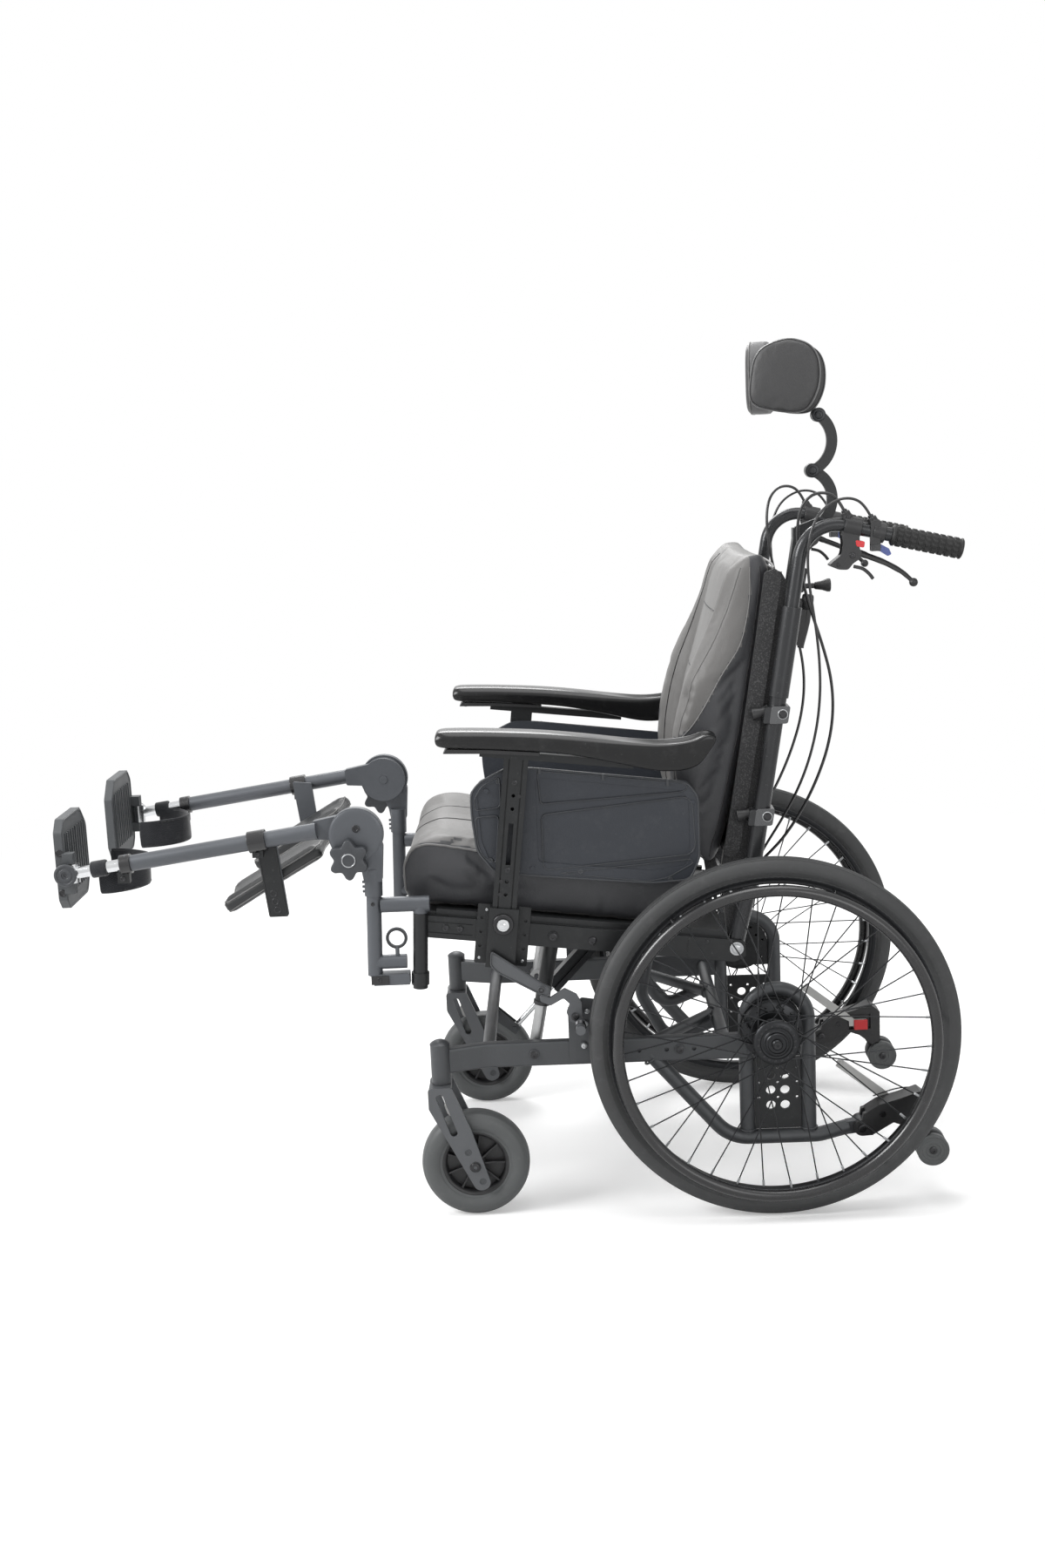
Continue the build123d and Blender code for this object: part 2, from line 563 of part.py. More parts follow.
# ---- anti-tipper ---------------------------------------------------------------------
def anti_tip_arm():
    """The moulded arm that clasps the lug, carries the pedal and the small wheels."""
    half = TIP_ARM_W / 2
    arm = side_plate([(TIP_PIVOT_Y + 15, TIP_PIVOT_Z - 14), (628, 128), (650, 120),
                      (678, TIP_WHEEL_Z + 20), (690, 100), (690, 166), (672, 181),
                      (640, 170), (604, 160), (TIP_PIVOT_Y + 6, TIP_PIVOT_Z + 26),
                      (TIP_PIVOT_Y + 17, TIP_PIVOT_Z + 8)],
                     LOWER_X - half, LOWER_X + half, 3)
    inner = TIP_LUG_T / 2 + GAP
    for x0, x1 in ((LOWER_X - half, LOWER_X - inner), (LOWER_X + inner, LOWER_X + half)):
        arm += cross_pin(TIP_PIVOT_Y, TIP_PIVOT_Z, x0, x1, TIP_LUG_R)
        arm += side_plate([(TIP_PIVOT_Y, TIP_PIVOT_Z - 14),
                           (TIP_PIVOT_Y + 18, TIP_PIVOT_Z - 13),
                           (TIP_PIVOT_Y + 18, TIP_PIVOT_Z + 30),
                           (TIP_PIVOT_Y + 2, TIP_PIVOT_Z + 25),
                           (TIP_PIVOT_Y, TIP_PIVOT_Z + 14)], x0, x1)
    arm -= cross_pin(TIP_PIVOT_Y, TIP_PIVOT_Z, LOWER_X - TIP_LUG_T / 2 - GAP,
                     LOWER_X + TIP_LUG_T / 2 + GAP, TIP_LUG_R + 0.6)
    arm += cross_pin(TIP_PIVOT_Y, TIP_PIVOT_Z, LOWER_X - half - 2, LOWER_X + half + 2, 5)
    neck = TIP_NECK_W / 2
    arm += side_plate([(648, 132), (676, 128), (690, 112),
                       (TIP_WHEEL_Y + 11, TIP_WHEEL_Z), (TIP_WHEEL_Y, TIP_WHEEL_Z - 11),
                       (TIP_WHEEL_Y - 11, TIP_WHEEL_Z - 4)],
                      LOWER_X - neck, LOWER_X + neck, 4)
    wide = neck + SIDE_GAP + TIP_WHEEL_W + 3
    clear = cross_pin(TIP_WHEEL_Y, TIP_WHEEL_Z, LOWER_X - half - 1, LOWER_X - neck,
                      TIP_WHEEL_R + 2)
    clear += cross_pin(TIP_WHEEL_Y, TIP_WHEEL_Z, LOWER_X + neck, LOWER_X + half + 1,
                       TIP_WHEEL_R + 2)
    arm -= clear
    arm -= cross_pin(TIP_WHEEL_Y, TIP_WHEEL_Z, LOWER_X - wide, LOWER_X + wide, 4 + RUN)
    pocket = box(LOWER_X - half - 1, LOWER_X - half + 7, 630, 672, 132, 162)
    return arm - pocket


def anti_tip_wheels():
    """Twin discs on one axle, either side of the arm's neck."""
    neck = TIP_NECK_W / 2 + SIDE_GAP
    pair = cross_pin(TIP_WHEEL_Y, TIP_WHEEL_Z, LOWER_X - neck - TIP_WHEEL_W,
                     LOWER_X + neck + TIP_WHEEL_W, 4)
    for start, turn in ((LOWER_X + neck, 1), (LOWER_X - neck, -1)):
        end = start + turn * TIP_WHEEL_W
        pair += turned([(start, 0), (start, TIP_WHEEL_R - 2),
                        (start + turn * 2, TIP_WHEEL_R),
                        (end - turn * 3, TIP_WHEEL_R), (end, TIP_WHEEL_R - 3),
                        (end, 17), (end - turn * 2, 16), (end - turn * 2, 7),
                        (end, 6), (end, 0)], TIP_WHEEL_Y, TIP_WHEEL_Z)
    return pair


def anti_tip_release():
    """The pull blade with its cross grip and the red catch, on the arm's inner face."""
    face = LOWER_X - TIP_ARM_W / 2
    catch = box(face - 5, face + 6.6, 640, 664, 134, 152)
    blade = side_plate([(630, 150), (606, 163), (538, 218), (548, 229), (616, 175),
                        (642, 152), (642, 140), (630, 140)], face - 5, face - 1)
    grip = cross_pin(545, 221, face - 14, face + 2, 3.5)
    return fused(catch, blade, grip)


# ---- wheel lock ----------------------------------------------------------------------
def wheel_lock():
    """Hand blade, curved neck and the knurled shoe that bears on the tyre."""
    x0, x1 = LOCK_BLADE_X, LOCK_BLADE_X + 5
    blade = side_plate([(-34, 461), (-36, 437), (-26, 424), (48, 381), (60, 380),
                        (62, 396), (50, 402)], x0, x1, [3, 4, 6, 5, 5, 5, 5])
    neck = side_plate([(42, 384), (60, 378), (84, 393), (104, 382), (112, 366),
                       (112, 340), (92, 334), (86, 352), (92, 366), (82, 376),
                       (60, 364), (44, 372)], x0, x1, 4)
    boss = cross_pin(LOCK_PIVOT_Y, LOCK_PIVOT_Z, RAIL_X + RAIL_W / 2 + 4 + GAP, x1, 11)
    shoe_y, shoe_z = lock_shoe()
    arm = side_plate([(LOCK_PIVOT_Y - 8, LOCK_PIVOT_Z + 6),
                      (LOCK_PIVOT_Y + 8, LOCK_PIVOT_Z + 8),
                      (shoe_y + 7, shoe_z), (shoe_y, shoe_z - 7), (shoe_y - 8, shoe_z)],
                     x0, x1, 2)
    shoe = cross_pin(shoe_y, shoe_z, x0, WHEEL_X + 16, LOCK_SHOE_R)
    body = fused(blade, neck, boss, arm, shoe)
    body += cross_pin(46, 392, x0 - 2, x1 + 3, 6)
    return body - cross_pin(LOCK_PIVOT_Y, LOCK_PIVOT_Z, RAIL_X, x1 + 5, 5 + RUN)


def lock_shoe():
    """The shoe's centre, a free gap off the tyre and just below the lock's pivot."""
    shoe_z = LOCK_PIVOT_Z - 11
    reach = WHEEL_R + LOCK_SHOE_R + LOCK_SHOE_GAP
    return AXLE_Y - (reach ** 2 - (shoe_z - WHEEL_R) ** 2) ** 0.5, shoe_z


# ---- seat ----------------------------------------------------------------------------
def seat_side():
    """One side of the seat frame, with its strut bolt, receiver and legrest post."""
    x0, x1 = SEAT_RAIL_X - SEAT_RAIL_W / 2, SEAT_RAIL_X + SEAT_RAIL_W / 2
    half = SEAT_RAIL_H / 2
    side = seat_block(x0, x1, RAIL_FRONT_U, RAIL_REAR_U, -half, half)
    for v in (9.0, -9.0):
        side -= seat_block(x1 - 1.5, x1 + 1, RAIL_FRONT_U + 4, POST_U - 50, v - 0.8, v + 0.8)
    side += seat_block(SEAT_RAIL_X - 12, SEAT_RAIL_X + 2, RAIL_FRONT_U + 16, RAIL_REAR_U,
                       half - 1, half + 11)
    side += seat_block(-1, SEAT_RAIL_X, RAIL_FRONT_U, RAIL_REAR_U, half,
                       half + SEAT_PLATE_T)
    for u in (RAIL_FRONT_U + 30, RAIL_REAR_U - 30):
        y, z = seat_point(u, 0)
        side += cross_pin(y, z, -1, SEAT_RAIL_X, CROSS_R)
    side += cross_pin(SEAT_FRONT_Y, SEAT_FRONT_Z, STRUT_X - 14, SEAT_RAIL_X, STRUT_PIN_R)
    side += cross_pin(SEAT_FRONT_Y, SEAT_FRONT_Z, x1 - 1, x1 + 3, 8.5)
    for u in (-179, -155):
        side += cross_pin(*seat_point(u, 0), x1 - 1, x1 + 2, 6)
    ear_y, ear_z = RECLINE_Y, RECLINE_Z
    ear = seat_plate([(RAIL_REAR_U - 60, -half), (RAIL_REAR_U - 60, half),
                      (RAIL_REAR_U + 34, half), (RAIL_REAR_U + 38, -8),
                      (RAIL_REAR_U + 20, -half)], x1 - 3, x1 + 1, 6)
    side += ear
    side += cross_pin(ear_y, ear_z, CANE_X - CANE_EYE_T / 2 - 3, x1 + 4, RECLINE_PIN_R)
    side += armrest_receiver()
    side += legrest_post()
    side += tilt_bracket()
    return side - legrest_socket()


def tilt_bracket():
    """The hanger under the seat that turns on the yoke's eye, with the pivot shaft."""
    x0 = YOKE_X + YOKE_R + SIDE_GAP
    top = SEAT_RAIL_H / 2 + 1
    hanger = seat_plate([(120, top), (214, top), (196, -40), (186, -54), (160, -54),
                         (148, -40)], x0, x0 + 6, 6)
    shaft = cross_pin(TILT_PIVOT_Y, TILT_PIVOT_Z, YOKE_X - YOKE_EYE_T / 2 - 8, x0 + 9,
                      TILT_PIVOT_R)
    return hanger + shaft


def armrest_receiver():
    """The folded bracket on the rail that the armrest post drops into."""
    x0 = SEAT_RAIL_X + SEAT_RAIL_W / 2
    inner = POST_X - POST_T / 2 - GAP
    outer = POST_X + POST_T / 2 + GAP
    flange = seat_plate([(POST_U - RECEIVER_W / 2, RECEIVER_LOW),
                         (POST_U - RECEIVER_W / 2, RECEIVER_HIGH),
                         (POST_U + RECEIVER_W / 2, RECEIVER_HIGH),
                         (POST_U + RECEIVER_W / 2, RECEIVER_LOW)], x0 - 0.5, x0 + 4, 3)
    half = POST_W / 2
    channel = seat_block(inner - RECEIVER_WALL, outer + RECEIVER_WALL,
                         POST_U - half - GAP - RECEIVER_WALL,
                         POST_U + half + GAP + RECEIVER_WALL, RECEIVER_LOW, RECEIVER_HIGH)
    channel -= seat_block(inner, outer, POST_U - half - GAP, POST_U + half + GAP,
                          RECEIVER_LOW + 4, RECEIVER_HIGH + 1)
    y, z = seat_point(POST_U, BUTTON_V)
    face = outer + RECEIVER_WALL
    receiver = fused(flange, channel, cross_pin(y, z, outer + 0.5, face + 4, 17))
    receiver -= cross_pin(y, z, outer - 1, face + 5, BUTTON_R + RUN)
    for u in (POST_U - RECEIVER_W / 2 + 8, POST_U + RECEIVER_W / 2 - 8):
        for v in (24, 0, -24, -45):
            receiver -= cross_pin(*seat_point(u, v), x0 + 1, x0 + 5, 2.6)
    return receiver


def legrest_post():
    """The upright socket at the front of the rail that a legrest hangs in."""
    top, bottom = post_ends()
    tube = rod(bottom, top, POST_TUBE_R)
    run = Vector(top) - Vector(bottom)
    catch = rod(Vector(bottom) + run * 0.05, Vector(bottom) + run * 0.21, 15)
    return tube + catch


def legrest_socket():
    """The bore of the post."""
    top, bottom = post_ends()
    run = Vector(top) - Vector(bottom)
    return rod(Vector(bottom) + run * 0.45, Vector(top) + run * 0.1, 8 + RUN)


def post_ends():
    """The post's top and bottom centres, leaning a little with the chair."""
    y, z = -149.0, 522.0
    return (LEG_X, y, z), (LEG_X, y - 7.0, z - 129.0)


def seat_frame():
    """Both rails, the seat plate, cross tubes, pivot hangers and sockets."""
    side = seat_side()
    under = SEAT_RAIL_H / 2 + 1
    tilt_root = seat_point(TILT_HEAD_U, under)
    recline_root = seat_point(RECLINE_FOOT_U, under)
    return fused(side, opposite(side),
                 spring_clevis(0, TILT_SPRING_HEAD, tilt_root, 4, 22),
                 spring_clevis(RECLINE_SPRING_X, RECLINE_SPRING_FOOT, recline_root, 4, 20))


def seat_cushion():
    """Contoured foam cushion: crown, drawn-in sides, leg troughs and a seat well."""
    half = SEAT_WIDTH / 2
    low = SEAT_RAIL_H / 2 + SEAT_PLATE_T
    top = low + CUSHION_H + 5
    profile = [(CUSHION_FRONT_U + 16, low), (CUSHION_REAR_U, low),
               (CUSHION_REAR_U, top - 26), (60, top - 22), (-90, top - 4),
               (CUSHION_FRONT_U + 36, top), (CUSHION_FRONT_U, low + 62)]
    body = seat_plate(profile, -half, half, [20, 12, 30, 150, 150, 44, 60])
    for sign in (-1, 1):
        y, z = seat_point(-60, top + 292)
        start = seat_point(CUSHION_FRONT_U - 60, top + 298)
        end = seat_point(CUSHION_REAR_U + 60, top + 286)
        trough = rod(at_x(sign * 105, start), at_x(sign * 105, end), 306)
        body -= trough
        corner_y, corner_z = seat_point(-20, top / 2)
        waist = rod((sign * (half + 2196), corner_y, corner_z - 200),
                    (sign * (half + 2196), corner_y, corner_z + 200), 2200)
        body -= waist
    return body


# ---- struts and gas springs ----------------------------------------------------------
def strut_ends():
    """Foot and head of a front strut."""
    return (STRUT_FOOT_Y, RAIL_Z), (SEAT_FRONT_Y, SEAT_FRONT_Z)


def strut_rods():
    """The lower halves of the telescoping front struts."""
    foot, head = strut_ends()
    length = hypot(head[0] - foot[0], head[1] - foot[1])
    top = between(foot, head, 1 - STRUT_OVERRUN / length)
    lower = rod(at_x(STRUT_X, foot), at_x(STRUT_X, top), STRUT_ROD_R)
    eye = cross_pin(*foot, STRUT_X - 12, STRUT_X + 12, 13)
    side = lower + eye - cross_pin(*foot, STRUT_X - 30, STRUT_X + 30, STRUT_PIN_R + RUN)
    return side


def strut_sleeves():
    """The upper halves, which slide over the rods and hang from the seat bolts."""
    foot, head = strut_ends()
    length = hypot(head[0] - foot[0], head[1] - foot[1])
    low = between(head, foot, STRUT_SLEEVE_L / length)
    stop = between(foot, head, 1 - 23 / length)
    sleeve = rod(at_x(STRUT_X, low), at_x(STRUT_X, head), STRUT_SLEEVE_R)
    sleeve += cross_pin(*head, STRUT_X - 12, STRUT_X + 12, 14)
    sleeve -= rod(at_x(STRUT_X, between(foot, head, 0.3)), at_x(STRUT_X, stop),
                  STRUT_ROD_R + RUN)
    return sleeve - cross_pin(*head, STRUT_X - 30, STRUT_X + 30,
                              STRUT_PIN_R + OPEN_PIN_PLAY)


def both(side):
    """A left and right pair as one node."""
    return [side, opposite(side)]


def spring_rod(foot, head, share):
    """The polished rod of a gas spring, from its foot eye up into the cylinder."""
    end = between(foot, head, share)
    body = rod(at_x(0, foot), at_x(0, end), SPRING_ROD_R)
    body += cross_pin(*foot, -SPRING_EYE_T / 2, SPRING_EYE_T / 2, SPRING_EYE_R)
    return body - cross_pin(*foot, -30, 30, SPRING_PIN_R + RUN)


def tilt_spring_cylinder():
    """The slotted extrusion over the tilt spring, open at its head pivot."""
    foot, head = TILT_SPRING_FOOT, TILT_SPRING_HEAD
    run = Vector(at_x(0, head)) - Vector(at_x(0, foot))
    start = Vector(at_x(0, between(foot, head, 0.40)))
    plane = Plane(origin=start, x_dir=(1, 0, 0), z_dir=run)
    section = Rectangle(TILT_SPRING_BODY, TILT_SPRING_BODY - 4)
    for sign in (-1, 1):
        section -= Pos(sign * TILT_SPRING_BODY / 2, 0) * Rectangle(8, 7)
        section -= Pos(sign * (TILT_SPRING_BODY / 2 - 5), 0) * Rectangle(4, 13)
    body = extrude(plane * section, amount=run.length * 0.60 - SPRING_EYE_R - 8)
    body += rod(at_x(0, between(foot, head, 0.80)), at_x(0, head), SPRING_EYE_T / 2 - 0.3)
    body += cross_pin(*head, -SPRING_EYE_T / 2, SPRING_EYE_T / 2, SPRING_EYE_R + 4)
    body -= rod(at_x(0, between(foot, head, 0.3)), at_x(0, between(foot, head, 0.90)),
                SPRING_ROD_R + RUN)
    return body - cross_pin(*head, -30, 30, SPRING_PIN_R + TILT_SPRING_PLAY)


def recline_spring_cylinder():
    """The recline spring's cylinder, hung under the seat."""
    foot, head = RECLINE_SPRING_FOOT, RECLINE_SPRING_HEAD
    x, half = RECLINE_SPRING_X, SPRING_EYE_T / 2
    body = rod(at_x(x, between(foot, head, 0.08)), at_x(x, between(foot, head, 0.62)),
               RECLINE_SPRING_R)
    body += cross_pin(*foot, x - half, x + half, SPRING_EYE_R)
    body += rod(at_x(x, foot), at_x(x, between(foot, head, 0.1)), half - 1)
    body -= rod(at_x(x, between(foot, head, 0.13)), at_x(x, between(foot, head, 0.7)),
                SPRING_ROD_R + RUN)
    return body - cross_pin(*foot, x - 30, x + 30, SPRING_PIN_R + RUN)


def recline_spring_rod():
    """Its rod, with the release head at the back crank, where the linkage is open."""
    foot, head = RECLINE_SPRING_FOOT, RECLINE_SPRING_HEAD
    x, half = RECLINE_SPRING_X, SPRING_EYE_T / 2
    body = rod(at_x(x, between(foot, head, 0.30)), at_x(x, head), SPRING_ROD_R)
    body += rod(at_x(x, between(foot, head, 0.80)), at_x(x, between(foot, head, 0.92)), 8)
    body += cross_pin(*head, x - half, x + half, SPRING_EYE_R + 2)
    return body - cross_pin(*head, x - 30, x + 30, SPRING_PIN_R + RECLINE_SPRING_PLAY)


# ---- back ----------------------------------------------------------------------------
def cane_points():
    """The cane's centre line from the recline pivot to the handle's end."""
    top = (476.0, 1000.0)
    knee = (402.0, 560.0)
    slope = (top[0] - knee[0]) / (top[1] - knee[1])
    corner_z = 1141.0
    corner = (top[0] + slope * (corner_z - top[1]), corner_z)
    return (RECLINE_Y, RECLINE_Z), knee, top, corner, (747.0, 1081.0)


def handle_point(share):
    """A (y, z) place along the straight handle, from its bend to its end."""
    points = cane_points()
    return between(points[3], points[4], share)


def trigger_pivot():
    """The release trigger's pivot, under its clamp."""
    y, z = handle_point(0.47)
    return y - 4, z - 24


def barrel_end(share):
    """The mouth of the cable barrel on the clamp at a share of the handle."""
    y, z = handle_point(share)
    return y - 13, z + 27


def stop_mouth(x, past=0.0):
    """The mouth of a cable stop on the lower cross tube, or a place past it."""
    y, z = between((RECLINE_Y, RECLINE_Z), cane_points()[1], 0.45)
    run = Vector(CABLE_STOP_RUN).normalized()
    return Vector(x, y, z) + run * (CABLE_STOP_L + past)


def back_side():
    """One cane with its sleeve, push handle tube, shell clamps and lever clamps."""
    foot, knee, top, corner, end = cane_points()
    cane = bent_tube([at_x(CANE_X, foot), at_x(CANE_X, knee), at_x(CANE_X, top)], 180,
                     CANE_R)
    sleeve = rod(at_x(CANE_X, between(knee, top, 0.67)), at_x(CANE_X, top), CANE_R + 2.5)
    handle = bent_tube([at_x(CANE_X, top), at_x(CANE_X, corner), at_x(CANE_X, end)],
                       HANDLE_BEND_R, HANDLE_R)
    eye = cross_pin(*foot, CANE_X - CANE_EYE_T / 2, CANE_X + CANE_EYE_T / 2, CANE_EYE_R)
    side = fused(cane, sleeve, handle, eye)
    side -= cross_pin(*foot, CANE_X - 30, CANE_X + 30, RECLINE_PIN_R + RUN)
    for share in (0.225, 0.607):
        y, z = between(knee, top, share)
        slope = 0.17
        side += side_plate([(y - 21 - 13 * slope, z - 13), (y + 17 - 13 * slope, z - 13),
                            (y + 17 + 13 * slope, z + 13), (y - 21 + 13 * slope, z + 13)],
                           CANE_X - 17, CANE_X + 17, 3)
    brake = handle_point(0.30)
    side += rod((CANE_X, brake[0] - 14, brake[1] + 3.5), (CANE_X, brake[0] + 12, brake[1] - 3),
                HANDLE_R + 5)
    side += side_plate([(brake[0] - 16, brake[1] - 8), (brake[0] + 10, brake[1] - 14),
                        (brake[0] + 8, brake[1] - 50), (brake[0] - 8, brake[1] - 56)],
                       CANE_X - 4.5, CANE_X - 11, 3)
    side += side_plate([(brake[0] - 16, brake[1] - 8), (brake[0] + 10, brake[1] - 14),
                        (brake[0] + 8, brake[1] - 50), (brake[0] - 8, brake[1] - 56)],
                       CANE_X + 4.5, CANE_X + 11, 3)
    side += rod((CANE_X, *brake), (CANE_X, *barrel_end(0.30)), 5)
    side += cross_pin(brake[0] - 2, brake[1] - 44, CANE_X - 10, CANE_X + 10, 3)
    second = handle_point(0.47)
    side += rod((CANE_X, second[0] - 10, second[1] + 2.5),
                (CANE_X, second[0] + 8, second[1] - 2), HANDLE_R + 4.5)
    side += rod((CANE_X, *second), (CANE_X, *barrel_end(0.47)), 4.5)
    pivot = trigger_pivot()
    for x0 in (TRIGGER_X - 8, TRIGGER_X + 4):
        side += box(x0, x0 + 4, pivot[0] - 7, pivot[0] + 8, pivot[1] - 6, second[1] - 3)
    side += box(TRIGGER_X - 8, CANE_X - 2, pivot[0] - 7, pivot[0] + 8, second[1] - 13,
                second[1] - 3)
    side += cross_pin(*pivot, TRIGGER_X - 8, TRIGGER_X + 8, 2.5)
    lower = between(foot, knee, 0.45)
    side += cross_pin(*lower, -1, CANE_X, CROSS_R)
    for x in (BRAKE_STOP_X, RELEASE_STOP_X):
        side += rod((x, *lower), stop_mouth(x), 4.5)
    upper = between(knee, top, 0.93)
    side += cross_pin(*upper, -1, CANE_X, CROSS_R)
    return side


def bar_line():
    """The headrest bar's centre line: foot, and where it bends back at the top."""
    return (486.0, 925.0), (516.0, 1108.0)


def back_frame():
    """Both canes, cross tubes, recline crank and the headrest bar's guide."""
    foot, knee, top = cane_points()[:3]
    side = back_side()
    frame = fused(side, opposite(side))
    lower = between(foot, knee, 0.45)
    frame += spring_clevis(RECLINE_SPRING_X, RECLINE_SPRING_HEAD, lower, 5)
    low, high = bar_line()
    middle = between(low, high, 0.33)
    guide_z = (960.0, 1010.0)
    guide = []
    for z in guide_z:
        y = low[0] + (high[0] - low[0]) * (z - low[1]) / (high[1] - low[1])
        guide.append((y, z))
    run = Vector(at_x(0, guide[1])) - Vector(at_x(0, guide[0]))
    plane = Plane(origin=at_x(0, guide[0]), x_dir=(1, 0, 0), z_dir=run)
    shell = Rectangle(36, 26) - Rectangle(24 + 2 * GAP, 12 + 2 * GAP)
    frame += extrude(plane * shell, amount=run.length)
    return frame - clamp_stud(6.2, 16, CLAMP_STUD_R + RUN)


def clamp_stud(start, end, radius):
    """A round bar square to the headrest bar, from its middle outwards, on the clamp."""
    low, high = bar_line()
    share = (CLAMP_Z - low[1]) / (high[1] - low[1])
    y, z = between(low, high, share)
    length = hypot(high[0] - low[0], high[1] - low[1])
    out = ((high[1] - low[1]) / length, -(high[0] - low[0]) / length)
    return rod((0, y + out[0] * start, z + out[1] * start),
               (0, y + out[0] * end, z + out[1] * end), radius)


def back_shell():
    """The stiff board behind the back cushion, with its edges turned forward."""
    half = BACK_W / 2
    outline = [(356, 592), (372, 586)] + [(384, 600), (421, 800), (446, 950), (462, 1050)]
    outline += [(452, 1062), (434, 1056), (418, 950), (393, 800), (374, 690)]
    shell = side_plate(outline, -half, half, 6)
    hollow = [(340, 600), (370, 604), (407, 800), (432, 950), (447, 1048), (452, 1090),
              (380, 1090)]
    shell -= side_plate(hollow, -half + 8, half - 8)
    return shell


def back_cushion():
    """Back cushion: a recessed middle between two lateral bolsters."""
    half = BACK_W / 2 - 9
    middle_half = 132.0
    rear = [(350, 640), (368, 640), (406, 800), (431, 950), (445, 1046), (440, 1076)]
    front = [(398, 1084), (384, 1040), (362, 960), (326, 840), (306, 740), (300, 650)]
    middle = side_plate(rear + front, -middle_half - 4, middle_half + 4,
                        [4, 8, 60, 60, 8, 14, 14, 60, 90, 90, 60, 16])
    bolster_front = [(402, 1086), (376, 1056), (356, 1000), (332, 930), (268, 832),
                     (246, 740), (252, 650)]
    bolster = side_plate(rear + bolster_front, middle_half, half,
                         [4, 8, 60, 60, 8, 16, 20, 60, 60, 60, 60, 60, 24])
    return fused(middle, bolster, opposite(bolster))


def push_grips():
    """Ribbed rubber grips over the ends of the handle tubes."""
    start, end = cane_points()[3:]
    length = hypot(end[0] - start[0], end[1] - start[1])
    low = between(start, end, 1 - GRIP_L / length)
    run = Vector(at_x(CANE_X, end)) - Vector(at_x(CANE_X, low))
    cap = Vector(at_x(CANE_X, end)) + run.normalized() * 1.5
    grip = rod(at_x(CANE_X, low), cap, GRIP_R - 1.5)
    ribs = 9
    for index in range(ribs):
        place = Vector(at_x(CANE_X, low)) + run * ((index + 0.25) / ribs)
        grip += rod(place, place + run.normalized() * 6, GRIP_R)
    return grip - rod(at_x(CANE_X, between(start, end, 0.4)),
                      Vector(at_x(CANE_X, end)) + run.normalized() * 0.1, HANDLE_R + RUN)


def brake_lever():
    """The attendant's drum brake lever, with its ball end."""
    y, z = handle_point(0.30)
    pivot = (y - 2, z - 44)
    lever = side_plate([(pivot[0] - 6, pivot[1] - 5), (pivot[0] + 4, pivot[1] + 8),
                        (pivot[0] + 30, pivot[1] + 1), (pivot[0] + 62, pivot[1] - 12),
                        (pivot[0] + 96, pivot[1] - 34), (pivot[0] + 102, pivot[1] - 48),
                        (pivot[0] + 96, pivot[1] - 50), (pivot[0] + 86, pivot[1] - 40),
                        (pivot[0] + 56, pivot[1] - 22), (pivot[0] + 26, pivot[1] - 10)],
                       CANE_X - 4, CANE_X + 4, [4, 4, 14, 20, 10, 2, 2, 8, 20, 14])
    ball = Pos(CANE_X, pivot[0] + 99, pivot[1] - 48) * Sphere(7)
    return lever + ball - cross_pin(*pivot, CANE_X - 20, CANE_X + 20, 3 + RUN)


def release_trigger():
    """The small trigger that frees the tilt or recline spring."""
    pivot = trigger_pivot()
    trigger = side_plate([(pivot[0] - 6, pivot[1] - 5), (pivot[0] - 5, pivot[1] + 6),
                          (pivot[0] + 8, pivot[1] + 5), (pivot[0] + 22, pivot[1] - 3),
                          (pivot[0] + 26, pivot[1] - 12), (pivot[0] + 20, pivot[1] - 15),
                          (pivot[0] + 8, pivot[1] - 7)],
                         TRIGGER_X - 3.5, TRIGGER_X + 3.5, 2)
    return trigger - cross_pin(*pivot, TRIGGER_X - 20, TRIGGER_X + 20, 2.5 + RUN)


def cord(points, radius):
    """A round cord through the points, as smooth as its shortest run allows."""
    legs = [Vector(b) - Vector(a) for a, b in zip(points, points[1:])]
    bends = []
    for one, two in zip(legs, legs[1:]):
        half_turn = radians(one.get_angle(two)) / 2
        bends.append(0.45 * min(one.length, two.length) / tan(half_turn))
    print("cord bend radii", [round(bend) for bend in bends])
    path = FilletPolyline(*points, radius=bends)
    return sweep(Plane(origin=path @ 0, z_dir=path % 0) * Circle(radius), path)


def off_barrel(share):
    """Where a cord starts, just off the mouth of the barrel on a handle clamp."""
    y, z = barrel_end(share)
    run = Vector(0, -13, 27).normalized()
    return Vector(CANE_X, y, z) + run * CORD_SEAT


def cables():
    """Brake and release cables, looping off the handles and down behind the back."""
    brake = [off_barrel(0.30), (231.5, 551.5, 1169.5), (229, 533, 1180),
             (224.5, 511.5, 1177.5), (219, 496, 1160.5), (214.5, 489.5, 1135),
             (211, 489, 1104), (208, 492.5, 1070), (204, 499, 1030), (198, 512, 985),
             (190, 530, 932), (182, 545, 876), (175, 549, 818), (168, 541, 760),
             (160, 522, 702), (150, 498, 650), (139, 470, 603), (128, 442, 570),
             stop_mouth(BRAKE_STOP_X, 30), stop_mouth(BRAKE_STOP_X, CORD_SEAT)]
    release = [off_barrel(0.47), (233, 593.3, 1158), (238, 574, 1169.5),
               (244, 548, 1168.5), (249, 521.5, 1152), (251, 506, 1124),
               (250.5, 500, 1090), (249, 500, 1052), (244, 506, 1008), (238, 514, 958),
               (228, 520, 902), (218, 521, 846), (208, 515, 790), (196, 502, 734),
               (182, 482, 680), (165, 457, 630), (146, 431, 583),
               stop_mouth(RELEASE_STOP_X, 30), stop_mouth(RELEASE_STOP_X, CORD_SEAT)]
    pair = [cord(brake, 2.5), cord(release, 2.2)]
    return pair + [opposite(piece) for piece in pair]


